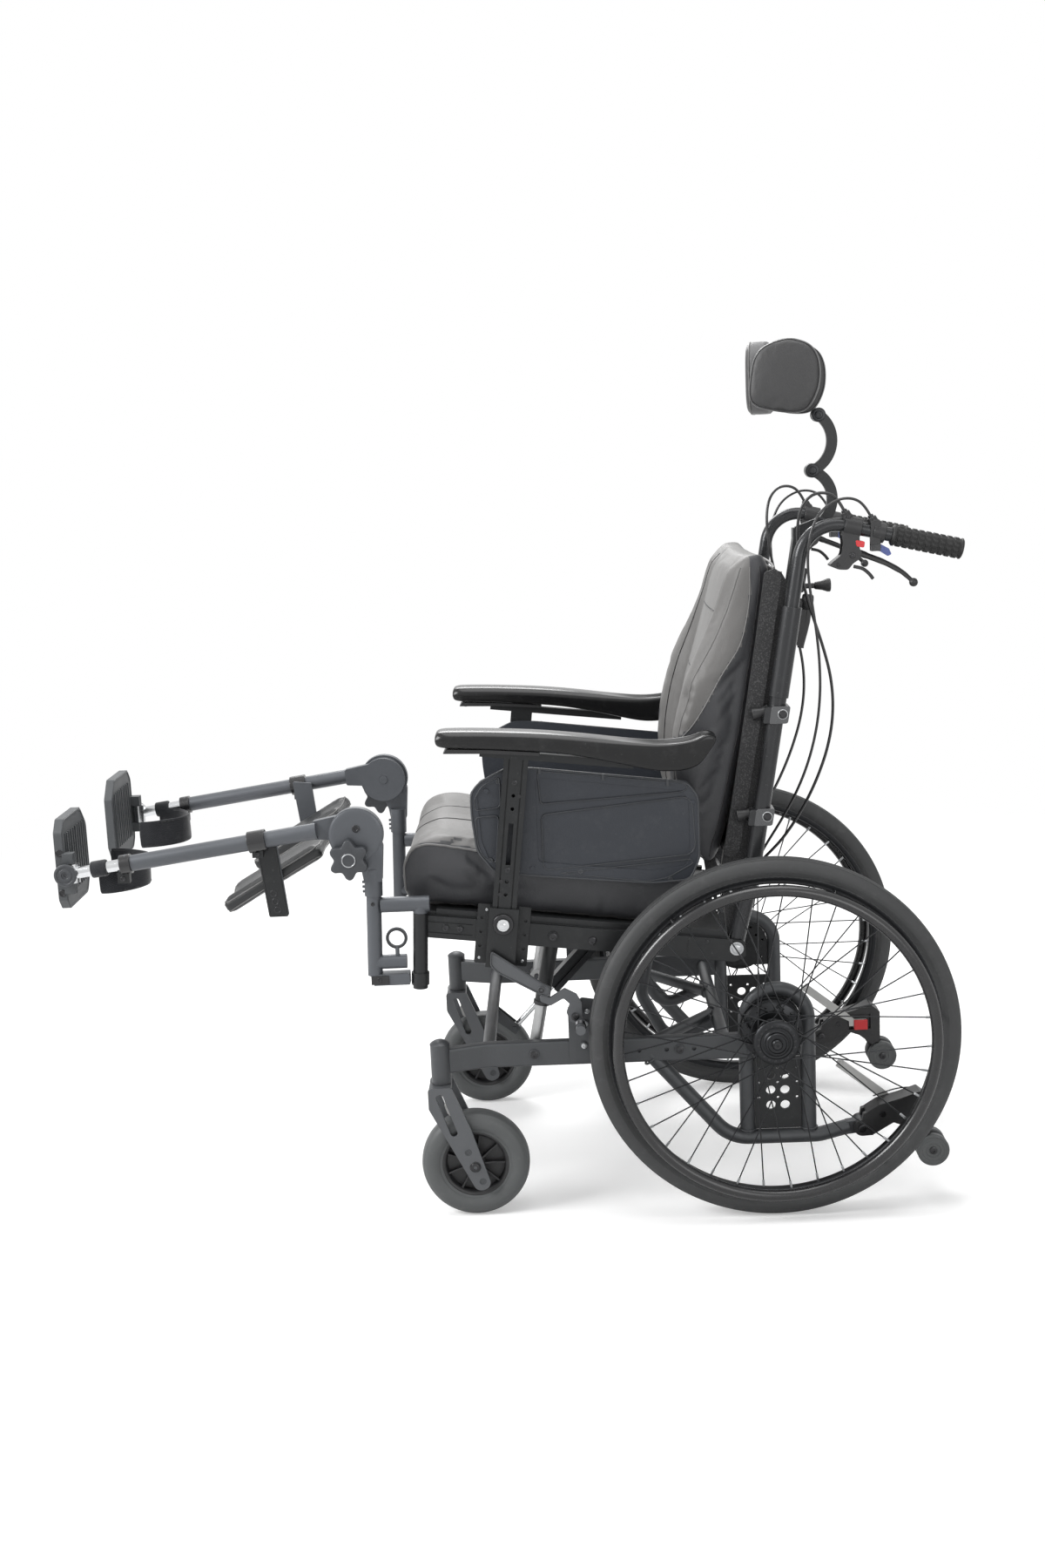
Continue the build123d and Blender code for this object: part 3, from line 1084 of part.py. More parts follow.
# ---- headrest ------------------------------------------------------------------------
HEAD_JOINT_LOW = (556.0, 1119.0)
HEAD_JOINT_MID = (543.0, 1210.0)
HEAD_JOINT_TOP = (555.0, 1303.0)
HEAD_EYE_R = 12.0
HEAD_PIN_R = 4.0
HEAD_LINK_T = 10.8
CLAMP_Z = 986.0
CLAMP_STUD_R = 3.0


def headrest_bar():
    """The flat bar in the guide and its bend back to the first joint."""
    low, high = bar_line()
    run = Vector(at_x(0, high)) - Vector(at_x(0, low))
    plane = Plane(origin=at_x(0, low), x_dir=(1, 0, 0), z_dir=run)
    bar = extrude(plane * Rectangle(24, 12), amount=run.length)
    bar += side_plate([(high[0] - 7, high[1] - 12), (high[0] + 5, high[1] - 14),
                       (HEAD_JOINT_LOW[0] + 4, HEAD_JOINT_LOW[1] - 11),
                       (HEAD_JOINT_LOW[0] - 4, HEAD_JOINT_LOW[1] + 11),
                       (high[0] - 5, high[1] + 8)], 0.2, 0.2 + HEAD_LINK_T, 4)
    bar += box(-12, 12, high[0] - 8, high[0] + 6, high[1] - 14, high[1] + 6)
    bar += cross_pin(*HEAD_JOINT_LOW, 0.2, 0.2 + HEAD_LINK_T, HEAD_EYE_R)
    return bar + cross_pin(*HEAD_JOINT_LOW, -0.2 - HEAD_LINK_T - 3, 1, HEAD_PIN_R)


def c_link(start, bulge, end, x0, x1):
    """A C-shaped link between two joints, bowed back through the bulge."""
    arc = ThreePointArc(start, bulge, end)
    band = Plane.YZ.offset(x0) * trace(arc, 18)
    link = extrude(band, amount=x1 - x0)
    for joint in (start, end):
        link += cross_pin(*joint, x0, x1, HEAD_EYE_R)
    return link


def headrest_lower_arm():
    """The lower C link."""
    x0, x1 = -0.2 - HEAD_LINK_T, -0.2
    link = c_link(HEAD_JOINT_LOW, (578.0, 1163.0), HEAD_JOINT_MID, x0, x1)
    link -= cross_pin(*HEAD_JOINT_LOW, x0 - 1, x1 + 0.1, HEAD_PIN_R + RUN)
    return link + cross_pin(*HEAD_JOINT_MID, x0 - 2, 0.2 + HEAD_LINK_T + 3, HEAD_PIN_R)


def headrest_upper_arm():
    """The upper C link."""
    x0, x1 = 0.2, 0.2 + HEAD_LINK_T
    link = c_link(HEAD_JOINT_MID, (577.0, 1258.0), HEAD_JOINT_TOP, x0, x1)
    link -= cross_pin(*HEAD_JOINT_MID, x0 - 0.1, x1 + 1, HEAD_PIN_R + RUN)
    return link + cross_pin(*HEAD_JOINT_TOP, -0.2 - HEAD_LINK_T - 3, x1 + 2, HEAD_PIN_R)


def headrest_pad():
    """The centre pad and its two side lobes on one bracket."""
    yaw = 11.0
    lug = side_plate([(HEAD_JOINT_TOP[0] - 12, HEAD_JOINT_TOP[1]),
                      (HEAD_JOINT_TOP[0], HEAD_JOINT_TOP[1] - 12),
                      (HEAD_JOINT_TOP[0] + 12, HEAD_JOINT_TOP[1]),
                      (HEAD_JOINT_TOP[0] + 8, HEAD_JOINT_TOP[1] + 30),
                      (HEAD_JOINT_TOP[0] - 40, HEAD_JOINT_TOP[1] + 44),
                      (HEAD_JOINT_TOP[0] - 40, HEAD_JOINT_TOP[1] + 24)],
                     -0.2 - HEAD_LINK_T, -0.2, 3)
    lug -= cross_pin(*HEAD_JOINT_TOP, -20, 1, HEAD_PIN_R + RUN)
    middle = Plane.XZ.offset(-478) * RectangleRounded(150, 122, 40)
    middle = Pos(0, 0, 1368) * extrude(middle, amount=-42)
    lobe = side_plate([(-62, -50), (40, -68), (64, -24), (66, 20), (52, 52), (8, 66),
                       (-48, 46)], 74, 112, 26)
    lobe = fillet(lobe.edges().filter_by(GeomType.LINE, reverse=True), 3)
    side = Pos(0, 502, 1368) * lobe
    pad = fused(middle, side, opposite(side))
    pad = Pos(0, 500, 0) * Rot(0, 0, -yaw) * Pos(0, -500, 0) * pad
    return pad + lug


def headrest_clamp():
    """The quick clamp lever behind the guide."""
    hub = clamp_stud(13 + GAP, 38, 10)
    arm = side_plate([(520, 986), (534, 983), (527, 940), (523, 908), (513, 908),
                      (514, 940)], -6, 6, 3)
    return fused(hub, clamp_stud(7.2, 20, CLAMP_STUD_R), arm)


# ---- armrests ------------------------------------------------------------------------
def armrest_post():
    """The slotted upright that carries the armrest and drops into the receiver."""
    half = POST_W / 2
    x0, x1 = POST_X - POST_T / 2, POST_X + POST_T / 2
    post = seat_block(x0, x1, POST_U - half, POST_U + half, RECEIVER_LOW + 5, 300)
    for u in (POST_U - 11, POST_U + 11):
        post -= seat_block(x1 - 3, x1 + 1, u - 1, u + 1, RECEIVER_LOW + 4, 301)
    post -= seat_block(x0 - 1, x1 + 1, POST_U - 4, POST_U + 4, 120, 190)
    for v in (70, 92, 214, 236, 258):
        post -= cross_pin(*seat_point(POST_U, v), x0 - 1, x1 + 1, 3)
    rail = seat_block(x0, x1, POST_U - 60, POST_U + 190, 296, 308)
    arms = [seat_block(PANEL_X + PANEL_T / 2, x0 + 1, POST_U - 12, POST_U + 12, v, v + 16)
            for v in (104, 250)]
    return fused(post, rail, *arms)


def armrest_pad():
    """The moulded armrest, deeper and dished towards its rear."""
    x0, x1 = ARM_PAD_X - ARM_PAD_W / 2, ARM_PAD_X + ARM_PAD_W / 2
    outline = [(-108, 806), (-100, 832), (-8, 827.5), (97, 818.5), (245, 796),
               (306, 797), (330, 812), (346, 802), (330, 764), (306, 751), (253, 747),
               (120, 782), (-20, 797), (-98, 802)]
    pad = side_plate(outline, x0, x1, [8, 9, 300, 300, 90, 30, 6, 6, 14, 20, 60, 300, 300, 6])
    dish_start = (ARM_PAD_X, 150, 905)
    dish_end = (ARM_PAD_X, 380, 893)
    pad -= rod(dish_start, dish_end, 100)
    x2, x3 = POST_X - POST_T / 2 - GAP, POST_X + POST_T / 2 + GAP
    pad -= seat_block(x2, x3, POST_U - 62, POST_U + 192, 200, 308 + GAP)
    return pad


def side_panel():
    """The clothes guard, with its front flap, ribs and sunk fields."""
    x0, x1 = PANEL_X - PANEL_T / 2, PANEL_X + PANEL_T / 2
    main = [(-22, 585), (28, 578), (237, 556), (300, 560), (316, 596), (316, 700),
            (298, 725), (46, 758), (4, 760), (-40, 739), (-57, 720), (-57, 680),
            (-51, 622)]
    panel = side_plate(main, x0, x1, [14, 60, 30, 20, 14, 16, 12, 60, 14, 14, 12, 30, 20])
    fields = [[(50, 600), (236, 578), (292, 584), (300, 600), (300, 694), (288, 710),
               (50, 742)],
              [(-42, 640), (-30, 606), (-4, 600), (-4, 742), (-32, 730), (-46, 714)]]
    for field in fields:
        panel -= side_plate(field, x1 - 1.5, x1 + 1, 8)
    for y, z in ((-20, 610), (-30, 722), (40, 590), (306, 690)):
        panel += cross_pin(y, z, x1 - 2, x1 + 1, 4)
    return panel


def armrest_button():
    """The height catch button in its collar."""
    y, z = seat_point(POST_U, BUTTON_V)
    face = POST_X + POST_T / 2 + GAP + RECEIVER_WALL
    start = POST_X + POST_T / 2 + GAP + 3.4
    return cross_pin(y, z, start, face + 8, BUTTON_R)


# ---- legrests ------------------------------------------------------------------------
def leg_hanger():
    """The swing-away hanger: socket pin, tube frame, latch, knee casting and knob."""
    top, bottom = post_ends()
    run = Vector(top) - Vector(bottom)
    pin_end = Vector(bottom) + run * 0.5
    up = run.normalized()
    seat = Vector(top) + up * GAP
    hanger = rod(pin_end, Vector(top) + up * 10, 8)
    hanger += bent_tube([(LEG_X, -133, 537.5), (LEG_X, -214, 537.5)], 0, 13)
    hanger += rod(seat, seat + up * 12, POST_TUBE_R)
    tube_top = (-223.0, 600.0)
    tube_low = (-230.0, 418.0)
    hanger += rod(at_x(LEG_X, tube_low), at_x(LEG_X, tube_top), POST_TUBE_R)
    hanger += rod(at_x(LEG_X, between(tube_low, tube_top, 0.75)),
                  at_x(LEG_X, tube_top), 15)
    hanger += rod((LEG_X, -228, 440), (LEG_X, -176, 440), 12)
    hanger += box(LEG_X - 12, LEG_X + 12, -232, -172, 402, 421)
    ring = Plane(origin=(LEG_X, -191, 480), z_dir=(1, 0, 0))
    hanger += extrude(ring * (Circle(18) - Circle(13)), amount=2.5, both=True)
    hanger += rod((LEG_X, -191, 448), (LEG_X, -191, 465), 3.5)
    casting = side_plate([(KNEE_Y - 6, KNEE_Z - 30), (KNEE_Y + 6, KNEE_Z - 60),
                          (tube_top[0] - 15, tube_top[1] - 20),
                          (tube_top[0] + 15, tube_top[1] - 20), (KNEE_Y + KNEE_R, KNEE_Z)],
                         LEG_X - 2, LEG_X + 13, [8, 10, 4, 4, 12])
    casting += cross_pin(KNEE_Y, KNEE_Z, LEG_X - 2, LEG_X + 13, KNEE_R)
    hanger += casting
    hanger += cross_pin(KNEE_Y, KNEE_Z, LEG_X - 18, LEG_X, 8)
    knob = (KNEE_Y - 12, KNEE_Z - 38)
    hanger += cross_pin(*knob, LEG_X + 12, LEG_X + 20, 8)
    star = Plane(origin=at_x(LEG_X + 18, knob), z_dir=(1, 0, 0))
    knob_face = Circle(24)
    for index in range(6):
        knob_face += Rot(0, 0, 60 * index) * (Pos(25, 0) * Circle(8))
    hanger += extrude(star * knob_face, amount=14)
    return hanger


def leg_line():
    """The leg tube's axis: at the knee, at its front clamp and at the foot hub."""
    return (-262.0, 674.0), (-640.0, 622.8), (-722.0, 612.0)


def leg_tube():
    """The elevating tube, its knee cheek, clamps and the calf pad's bar."""
    start, clamp, hub = leg_line()
    x0 = LEG_X - 17.0
    tube = rod(at_x(LEG_X, between(start, hub, 0.11)), at_x(LEG_X, clamp), LEG_TUBE_R)
    cheek = cross_pin(KNEE_Y, KNEE_Z, x0, LEG_X - 2 - GAP, KNEE_R - 4)
    cheek += side_plate([(KNEE_Y - 10, KNEE_Z + 34), (-320, 682), (-318, 652),
                         (KNEE_Y - 10, KNEE_Z - 12)], x0, LEG_X - 2 - GAP, 4)
    leg = fused(tube, cheek)
    leg += rod(at_x(LEG_X, between(start, hub, 0.95 * 0.84)), at_x(LEG_X, clamp),
               LEG_TUBE_R + 2.5)
    leg += box(LEG_X - 4, LEG_X + 4, clamp[0] - 4, clamp[0] + 12, clamp[1] - 24, clamp[1])
    ring = between(start, hub, 0.325)
    leg += rod((LEG_X, ring[0] - 14, ring[1] - 2), (LEG_X, ring[0] + 14, ring[1] + 2),
               LEG_TUBE_R + 4)
    bar_x = LEG_X - LEG_TUBE_R - 4
    leg += side_plate([(-420, 664), (-402, 521), (-370, 521), (-384, 660)],
                      bar_x - 5, bar_x + 1, 3)
    pivot = calf_pivot()
    leg += cross_pin(*pivot, bar_x - 22, bar_x, 5)
    leg -= rod(at_x(LEG_X, between(start, hub, 0.30)), at_x(LEG_X, between(start, hub, 1)),
               LEG_INNER_R + RUN)
    bore = cross_pin(KNEE_Y, KNEE_Z, x0 - 1, LEG_X + 1, 8 + RUN)
    return leg - bore


def calf_pivot():
    """Where the calf pad turns on its bar."""
    return (-393.0, 560.0)


def leg_extension():
    """The inner tube that sets the leg length, with its eye for the footplate."""
    start, clamp, hub = leg_line()
    inner = rod(at_x(LEG_X, between(start, hub, 0.62)), at_x(LEG_X, hub), LEG_INNER_R)
    lug = rod((LEG_X - 4, hub[0], hub[1] - 16), (LEG_X - 4, hub[0], hub[1] + 16), 11)
    return inner + lug - rod((LEG_X - 4, hub[0], hub[1] - 40),
                             (LEG_X - 4, hub[0], hub[1] + 40), 5 + RUN)


def footplate():
    """The flip-up footplate: rimmed tread, ribs and a yoke on the hinge pin."""
    hub = leg_line()[2]
    hinge_x = LEG_X - 4
    inner_x, outer_x = 96.0, hinge_x + 2
    back, front = hub[0] - 13, hub[0] - 27
    outline = [(inner_x, 578), (inner_x + 22, 548), (outer_x - 16, 548), (outer_x, 566),
               (outer_x, 680), (outer_x - 18, 700), (inner_x + 30, 700), (inner_x, 668)]
    face = Plane(origin=(0, back, 0), x_dir=(1, 0, 0), z_dir=(0, -1, 0))
    plate = extrude(face * make_face(FilletPolyline(*outline, radius=8, close=True)),
                    amount=back - front)
    ribs = 9
    for index in range(ribs):
        x = inner_x + 18 + index * (outer_x - inner_x - 44) / (ribs - 1)
        plate += box(x - 2, x + 2, back - 1, back + 3, 574, 676)
    for z0, z1 in ((hub[1] - 34, hub[1] - 16.5), (hub[1] + 16.5, hub[1] + 34)):
        plate += box(hinge_x - 9, hinge_x + 9, back - 1, hub[0] + 4, z0, z1)
    plate += rod((hinge_x, hub[0], hub[1] - 34), (hinge_x, hub[0], hub[1] + 34), 5)
    return plate


def calf_pad():
    """The calf pad: a dished cushion on its backing, inboard of the bar."""
    outer = LEG_X - LEG_TUBE_R - 4 - 6
    outline = [(-484, 548), (-471, 520), (-300, 618), (-318, 640), (-350, 644)]
    pad = side_plate(outline, 86, outer - 2, [9, 9, 9, 9, 20])
    pad -= rod((86 + (outer - 88) / 2, -500, 640), (86 + (outer - 88) / 2, -330, 738), 88)
    pivot = calf_pivot()
    return pad - cross_pin(*pivot, outer - 20, outer + 10, 5 + RUN)


def heel_strap():
    """Webbing behind the heel, from the extension to the footplate's inner edge."""
    hub = leg_line()[2]
    near_x = LEG_X - LEG_INNER_R - 1.7
    arc = ThreePointArc((near_x, hub[0] + 40), (172, hub[0] + 108), (112, hub[0] + 30))
    band = Plane.XY.offset(hub[1] - 40) * trace(arc, 3)
    return extrude(band, amount=50)


# ---- write the nodes -----------------------------------------------------------------
def write(name, shape):
    """Write one node; a list is a node of several solids."""
    solids = []
    for piece in shape if isinstance(shape, (list, tuple)) else [shape]:
        solids.extend(piece.solids())
    node = Compound(children=solids) if len(solids) > 1 else solids[0]
    export_step(node, f"parts/{name}.step")


PAIRS = {
    "drive_tyre": drive_tyre, "drive_wheel": drive_wheel,
    "caster_fork": caster_fork, "caster_wheel": caster_wheel,
    "anti_tip_arm": anti_tip_arm, "anti_tip_wheels": anti_tip_wheels,
    "anti_tip_release": anti_tip_release, "wheel_lock": wheel_lock,
    "brake_lever": brake_lever, "release_trigger": release_trigger,
    "armrest_post": armrest_post, "armrest_pad": armrest_pad,
    "side_panel": side_panel, "armrest_button": armrest_button,
    "leg_hanger": leg_hanger, "leg_tube": leg_tube, "leg_extension": leg_extension,
    "footplate": footplate, "calf_pad": calf_pad, "heel_strap": heel_strap,
}
SINGLES = {
    "base_frame": base_frame, "axle_brackets": lambda: axle_pair(),
    "seat_frame": seat_frame, "seat_cushion": seat_cushion,
    "strut_rods": lambda: both(strut_rods()),
    "strut_sleeves": lambda: both(strut_sleeves()),
    "tilt_spring_cylinder": tilt_spring_cylinder,
    "tilt_spring_rod": lambda: spring_rod(TILT_SPRING_FOOT, TILT_SPRING_HEAD, 0.62),
    "recline_spring_cylinder": recline_spring_cylinder,
    "recline_spring_rod": recline_spring_rod,
    "back_frame": back_frame, "back_shell": back_shell, "back_cushion": back_cushion,
    "push_grips": lambda: both(push_grips()),
    "cables": cables,
    "headrest_bar": headrest_bar, "headrest_lower_arm": headrest_lower_arm,
    "headrest_upper_arm": headrest_upper_arm, "headrest_pad": headrest_pad,
    "headrest_clamp": headrest_clamp,
}


def axle_pair():
    """Both sides' axle plates and hole plates."""
    plate, holes = axle_bracket()
    return [plate, holes, opposite(plate), opposite(holes)]


def main():
    """Build and write every node."""
    os.makedirs("parts", exist_ok=True)
    for name, make in PAIRS.items():
        piece = make()
        solids = piece if isinstance(piece, list) else [piece]
        write(f"{name}_left", solids)
        write(f"{name}_right", [opposite(solid) for solid in solids])
    for name, make in SINGLES.items():
        write(name, make())


main()
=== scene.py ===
"""Dresses the tilt in space wheelchair: finishes, upholstery, wheels, cables and fasteners.

Lengths are in millimetres until a piece is built. The chair faces -Y and +X is the
sitter's left; left pieces are drawn and right ones mirrored.
"""

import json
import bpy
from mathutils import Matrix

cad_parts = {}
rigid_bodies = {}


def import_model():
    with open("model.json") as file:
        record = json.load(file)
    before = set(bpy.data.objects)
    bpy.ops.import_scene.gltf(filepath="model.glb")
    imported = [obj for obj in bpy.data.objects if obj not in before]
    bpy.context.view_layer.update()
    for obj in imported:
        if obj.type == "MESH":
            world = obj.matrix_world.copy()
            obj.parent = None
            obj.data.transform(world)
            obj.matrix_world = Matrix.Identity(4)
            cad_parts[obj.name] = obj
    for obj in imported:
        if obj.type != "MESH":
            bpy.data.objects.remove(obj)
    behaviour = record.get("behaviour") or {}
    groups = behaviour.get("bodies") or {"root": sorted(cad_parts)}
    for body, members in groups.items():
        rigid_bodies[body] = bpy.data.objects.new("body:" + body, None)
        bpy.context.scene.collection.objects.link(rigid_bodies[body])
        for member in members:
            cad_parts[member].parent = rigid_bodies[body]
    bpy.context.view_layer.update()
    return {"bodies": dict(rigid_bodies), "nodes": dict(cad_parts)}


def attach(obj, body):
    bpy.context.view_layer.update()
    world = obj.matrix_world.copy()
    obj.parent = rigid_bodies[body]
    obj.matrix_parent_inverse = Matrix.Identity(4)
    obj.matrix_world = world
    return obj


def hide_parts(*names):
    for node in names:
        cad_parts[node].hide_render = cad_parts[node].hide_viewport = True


bl_info = {
    "name": "Tilt in space wheelchair",
    "version": (1, 0, 0),
    "blender": (4, 5, 0),
    "location": "View3D > Sidebar > Wheelchair",
    "description": "Upholstery, wheels, finishes and fasteners round the wheelchair's frame",
    "category": "Object",
}

from math import cos, hypot, pi, radians, sin

import bmesh
import bpy
from bpy.props import FloatProperty, FloatVectorProperty, PointerProperty
from mathutils import Matrix, Vector
from mathutils.bvhtree import BVHTree

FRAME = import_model()
MM = 0.001
SIDES = (("left", 1), ("right", -1))

AXLE = (425.0, 304.0)        # (y, z) of the drive wheels' axle
CASTER_AXLE = (-77.0, 91.0)
TIP_AXLE = (694.0, 77.0)
SEAT_MIDDLE = (69, 472)      # the seat rail's pivot; the rail rises to the front
SEAT_TILT = radians(7.0)
STRUT_FOOT = (29.0, 269.0)
HEAD = (500, 1368)           # the headrest pad's middle
CALF = ((-478, 534), (-311, 629))
# Distances from the middle plane to the parts of one side.
WHEEL_X, CASTER_X, LEG_X, CANE_X, PAD_X = 313.0, 267.0, 250.0, 232.0, 268.0
TIP_X, CALF_X = 240, 156
OUT = (1, 0, 0)   # to the sitter's left
HANDLE = ((499.7, 1141.0), (747.0, 1081.0))
KNEE = (-247.0, 660.0)
LEG_LINE = ((-262.0, 674.0), (-722.0, 612.0))


# ---- sizes and colours a user can change ---------------------------------------------
def colour(name, description, value):
    return FloatVectorProperty(name=name, description=description, default=value,
                               subtype="COLOR", size=3, min=0, max=1)


def length(name, description, value):
    return FloatProperty(name=name, description=description, default=value,
                         subtype="DISTANCE", unit="LENGTH", min=0)


class ChairColours(bpy.types.PropertyGroup):
    frame_paint: colour("Frame paint", "Charcoal powder coat of the base",
                        (0.058, 0.061, 0.065))
    leg_paint: colour("Leg paint", "Gunmetal coat of the legrests", (0.085, 0.091, 0.101))
    bracket_paint: colour("Bracket paint", "Satin black of brackets and posts",
                          (0.014, 0.015, 0.016))
    # The upholstery is one black leatherette drawn in two copies: this lighter one is painted
    # light on the faces turned to the lamps, and the darker one below is painted shade on the
    # cushions' sides and lower bolsters.
    leather_lit: colour("Upholstery", "Leatherette of seat and back", (0.115, 0.112, 0.109))
    leather_shaded_side: colour("Upholstery sides", "Leatherette of the cushions' side panels",
                         (0.034, 0.035, 0.039))
    plastic: colour("Black plastic", "Moulded black parts", (0.012, 0.012, 0.013))
    panel: colour("Side panel", "Blue black clothes guards", (0.018, 0.0215, 0.029))
    rubber: colour("Tyre rubber", "Tyres and grips", (0.04, 0.041, 0.042))
    webbing: colour("Webbing", "Heel straps", (0.016, 0.017, 0.02))


class ChairSizes(bpy.types.PropertyGroup):
    tread_depth: length("Tread depth", "Depth of the drive tyre's grooves", 0.0012)
    piping: length("Piping radius", "Radius of the upholstery's piping", 0.0019)
    seam: length("Seam radius", "Radius of a sewn seam's ridge", 0.0009)
    edge: length("Edge rounding", "Rounding of small parts' edges", 0.0008)
    leather_grain: length("Leather grain", "Size of the leatherette's grain", 0.0011)


# ---- shader nodes --------------------------------------------------------------------
class Wire:
    """A number socket in an expression; each operator adds the Math node it needs."""

    def __init__(self, finish, socket):
        self.finish, self.socket = finish, socket

    def _math(self, operation, *values):
        return self.finish.node("Math", {"operation": operation}, dict(enumerate(values)))

    def __add__(self, other):
        return self._math("ADD", self, other)

    def __mul__(self, other):
        return self._math("MULTIPLY", self, other)

    __radd__, __rmul__ = __add__, __mul__

    def sine(self):
        return self._math("SINE", self)

    def above(self, edge, soft=0.05):
        """0 below the edge and 1 above it, with a soft step."""
        return self.finish.node("MapRange", {"interpolation_type": "SMOOTHSTEP"},
                                {"Value": self, "From Min": edge - soft,
                                 "From Max": edge + soft})


class Finish:
    """A material while its nodes are laid out."""

    def __init__(self, name, **fixed):
        self.material = bpy.data.materials.new(name)
        self.material.use_nodes = True
        self.tree = self.material.node_tree
        self.shader = self.tree.nodes["Principled BSDF"]
        for socket, value in fixed.items():
            self.shader.inputs[socket.replace("_", " ")].default_value = value
        self.place = self.node("TexCoord", output="Object")

    def node(self, kind, settings=None, sockets=None, output=0):
        """Add a node: settings first, then the values or links of its sockets."""
        made = self.tree.nodes.new("ShaderNode" + kind)
        for key, value in (settings or {}).items():
            if key == "stops":
                ramp = made.color_ramp
                ramp.elements[0].position, ramp.elements[0].color = value[0]
                ramp.elements[1].position, ramp.elements[1].color = value[-1]
                for position, tone in value[1:-1]:
                    ramp.elements.new(position).color = tone
            else:
                setattr(made, key, value)
        for key, value in (sockets or {}).items():
            socket = made.inputs[key]
            if isinstance(value, Wire):
                self.tree.links.new(value.socket, socket)
            else:
                socket.default_value = value
        return Wire(self, made.outputs[output])

    def feed(self, socket, value):
        self.tree.links.new(value.socket, self.shader.inputs[socket])

    def noise(self, scale, detail=3.0, stretch=None, rough=0.5):
        """Noise over the piece, from 0 to 1; stretch scales its axes."""
        place = self.place
        if stretch:
            place = self.node("VectorMath", {"operation": "MULTIPLY"},
                              {0: place, 1: stretch})
        return self.node("TexNoise", None, {"Vector": place, "Scale": scale,
                                            "Detail": detail, "Roughness": rough})

    def mix(self, mask, low, high):
        """A colour from low to high by the mask."""
        values = {0: mask}
        for index, value in ((6, low), (7, high)):
            values[index] = value if isinstance(value, Wire) else (*value, 1.0)
        return self.node("Mix", {"data_type": "RGBA"}, values, output=2)

    def edge(self, radius):
        """Normals rounded over the edges within the radius, in metres."""
        return self.node("Bevel", {"samples": 4}, {"Radius": radius})

    def bump(self, height, strength, distance, under=None):
        sockets = {"Height": height, "Strength": strength, "Distance": distance}
        if under:
            sockets["Normal"] = under
        return self.node("Bump", None, sockets)

    def paint(self, tone, rough, spread=0.08, mottle=0.25, scuff=0.0, dust=0.12):
        """Base colour and roughness that vary: soft mottling, dust and fine scuffs."""
        cloud = self.noise(7.0, 4.0)
        grain = self.noise(900.0, 1.0)
        shade = tuple(c * (1 - mottle) for c in tone)
        light = tuple(min(1.0, c * (1 + mottle) + 0.002) for c in tone)
        base = self.mix(cloud * 0.7 + grain * 0.3, shade, light)
        worn = tuple(c * 0.5 + 0.07 for c in tone)
        if dust:
            speck = self.noise(38.0, 6.0, rough=0.7).above(0.62, 0.12) * dust
            base = self.mix(speck, base, worn)
        roughness = self.noise(22.0, 3.0) * (2 * spread) + (rough - spread)
        if scuff:
            lines = self.noise(16.0, 5.0, (1.0, 9.0, 9.0), 0.75).above(0.66, 0.03) * scuff
            base = self.mix(lines, base, worn)
            roughness = roughness + lines * 0.2
        self.feed("Base Color", base)
        self.feed("Roughness", roughness)
        return base


def powder_coat(name, tone, rough=0.42):
    """Paint over metal: an orange peel skin and rounded edges."""
    finish = Finish(name, Metallic=0.35, Specular_IOR_Level=0.5)
    finish.paint(tone, rough, 0.07, 0.2, 0.5)
    edge = finish.edge(0.0009)
    skin = finish.node("TexVoronoi", {"feature": "SMOOTH_F1"},
                       {"Vector": finish.place, "Scale": 1500.0})
    finish.feed("Normal", finish.bump(skin, 0.16, 0.0003, edge))
    return finish.material


def moulded(name, tone, rough=0.45, grain=1300.0, strength=0.25, coat=0.0, edge=True,
            gloss=0.5):
    """Injection moulded plastic with an eroded grain."""
    finish = Finish(name, Specular_IOR_Level=gloss, Coat_Weight=coat)
    finish.shader.inputs["Coat Roughness"].default_value = 0.2
    finish.paint(tone, rough, 0.08, 0.18, 0.35)
    under = finish.edge(0.0007) if edge else None
    skin = finish.noise(grain, 3.0)
    finish.feed("Normal", finish.bump(skin, strength, 0.0004, under))
    return finish.material


def rubber(name, tone, rough=0.6):
    """Dull rubber with dust in its pores."""
    finish = Finish(name, Specular_IOR_Level=0.45)
    finish.paint(tone, rough, 0.1, 0.25, 0.25, 0.3)
    finish.feed("Normal", finish.bump(finish.noise(700.0, 4.0), 0.3, 0.0005))
    return finish.material


def leatherette(name, tone, grain, rough=0.5, crease=0.5):
    """Coated upholstery: pebbled grain, pores and long soft creases."""
    finish = Finish(name, Specular_IOR_Level=0.5, Sheen_Weight=0.08, Sheen_Roughness=0.5)
    finish.paint(tone, rough, 0.07, 0.16, 0.0, 0.08)
    pebble = finish.node("TexVoronoi", {"feature": "SMOOTH_F1"},
                         {"Vector": finish.place, "Scale": 1 / grain, "Smoothness": 0.6,
                          "Randomness": 0.95})
    fold = finish.noise(17.0, 3.0, (0.6, 1.6, 1.0), 0.6)
    under = finish.bump(fold, 0.3 * crease, 0.012)
    finish.feed("Normal", finish.bump(pebble, 0.34, 0.0006, under))
    return finish.material


def metal(name, tone, rough=0.3, brushed=(1.0, 1.0, 30.0)):
    """Bright metal with a fine directional brush and dulled patches."""
    finish = Finish(name, Metallic=1.0)
    finish.paint(tone, rough, 0.09, 0.12, 0.3, 0.1)
    finish.feed("Normal", finish.bump(finish.noise(160.0, 3.0, brushed), 0.12, 0.0003))
    return finish.material


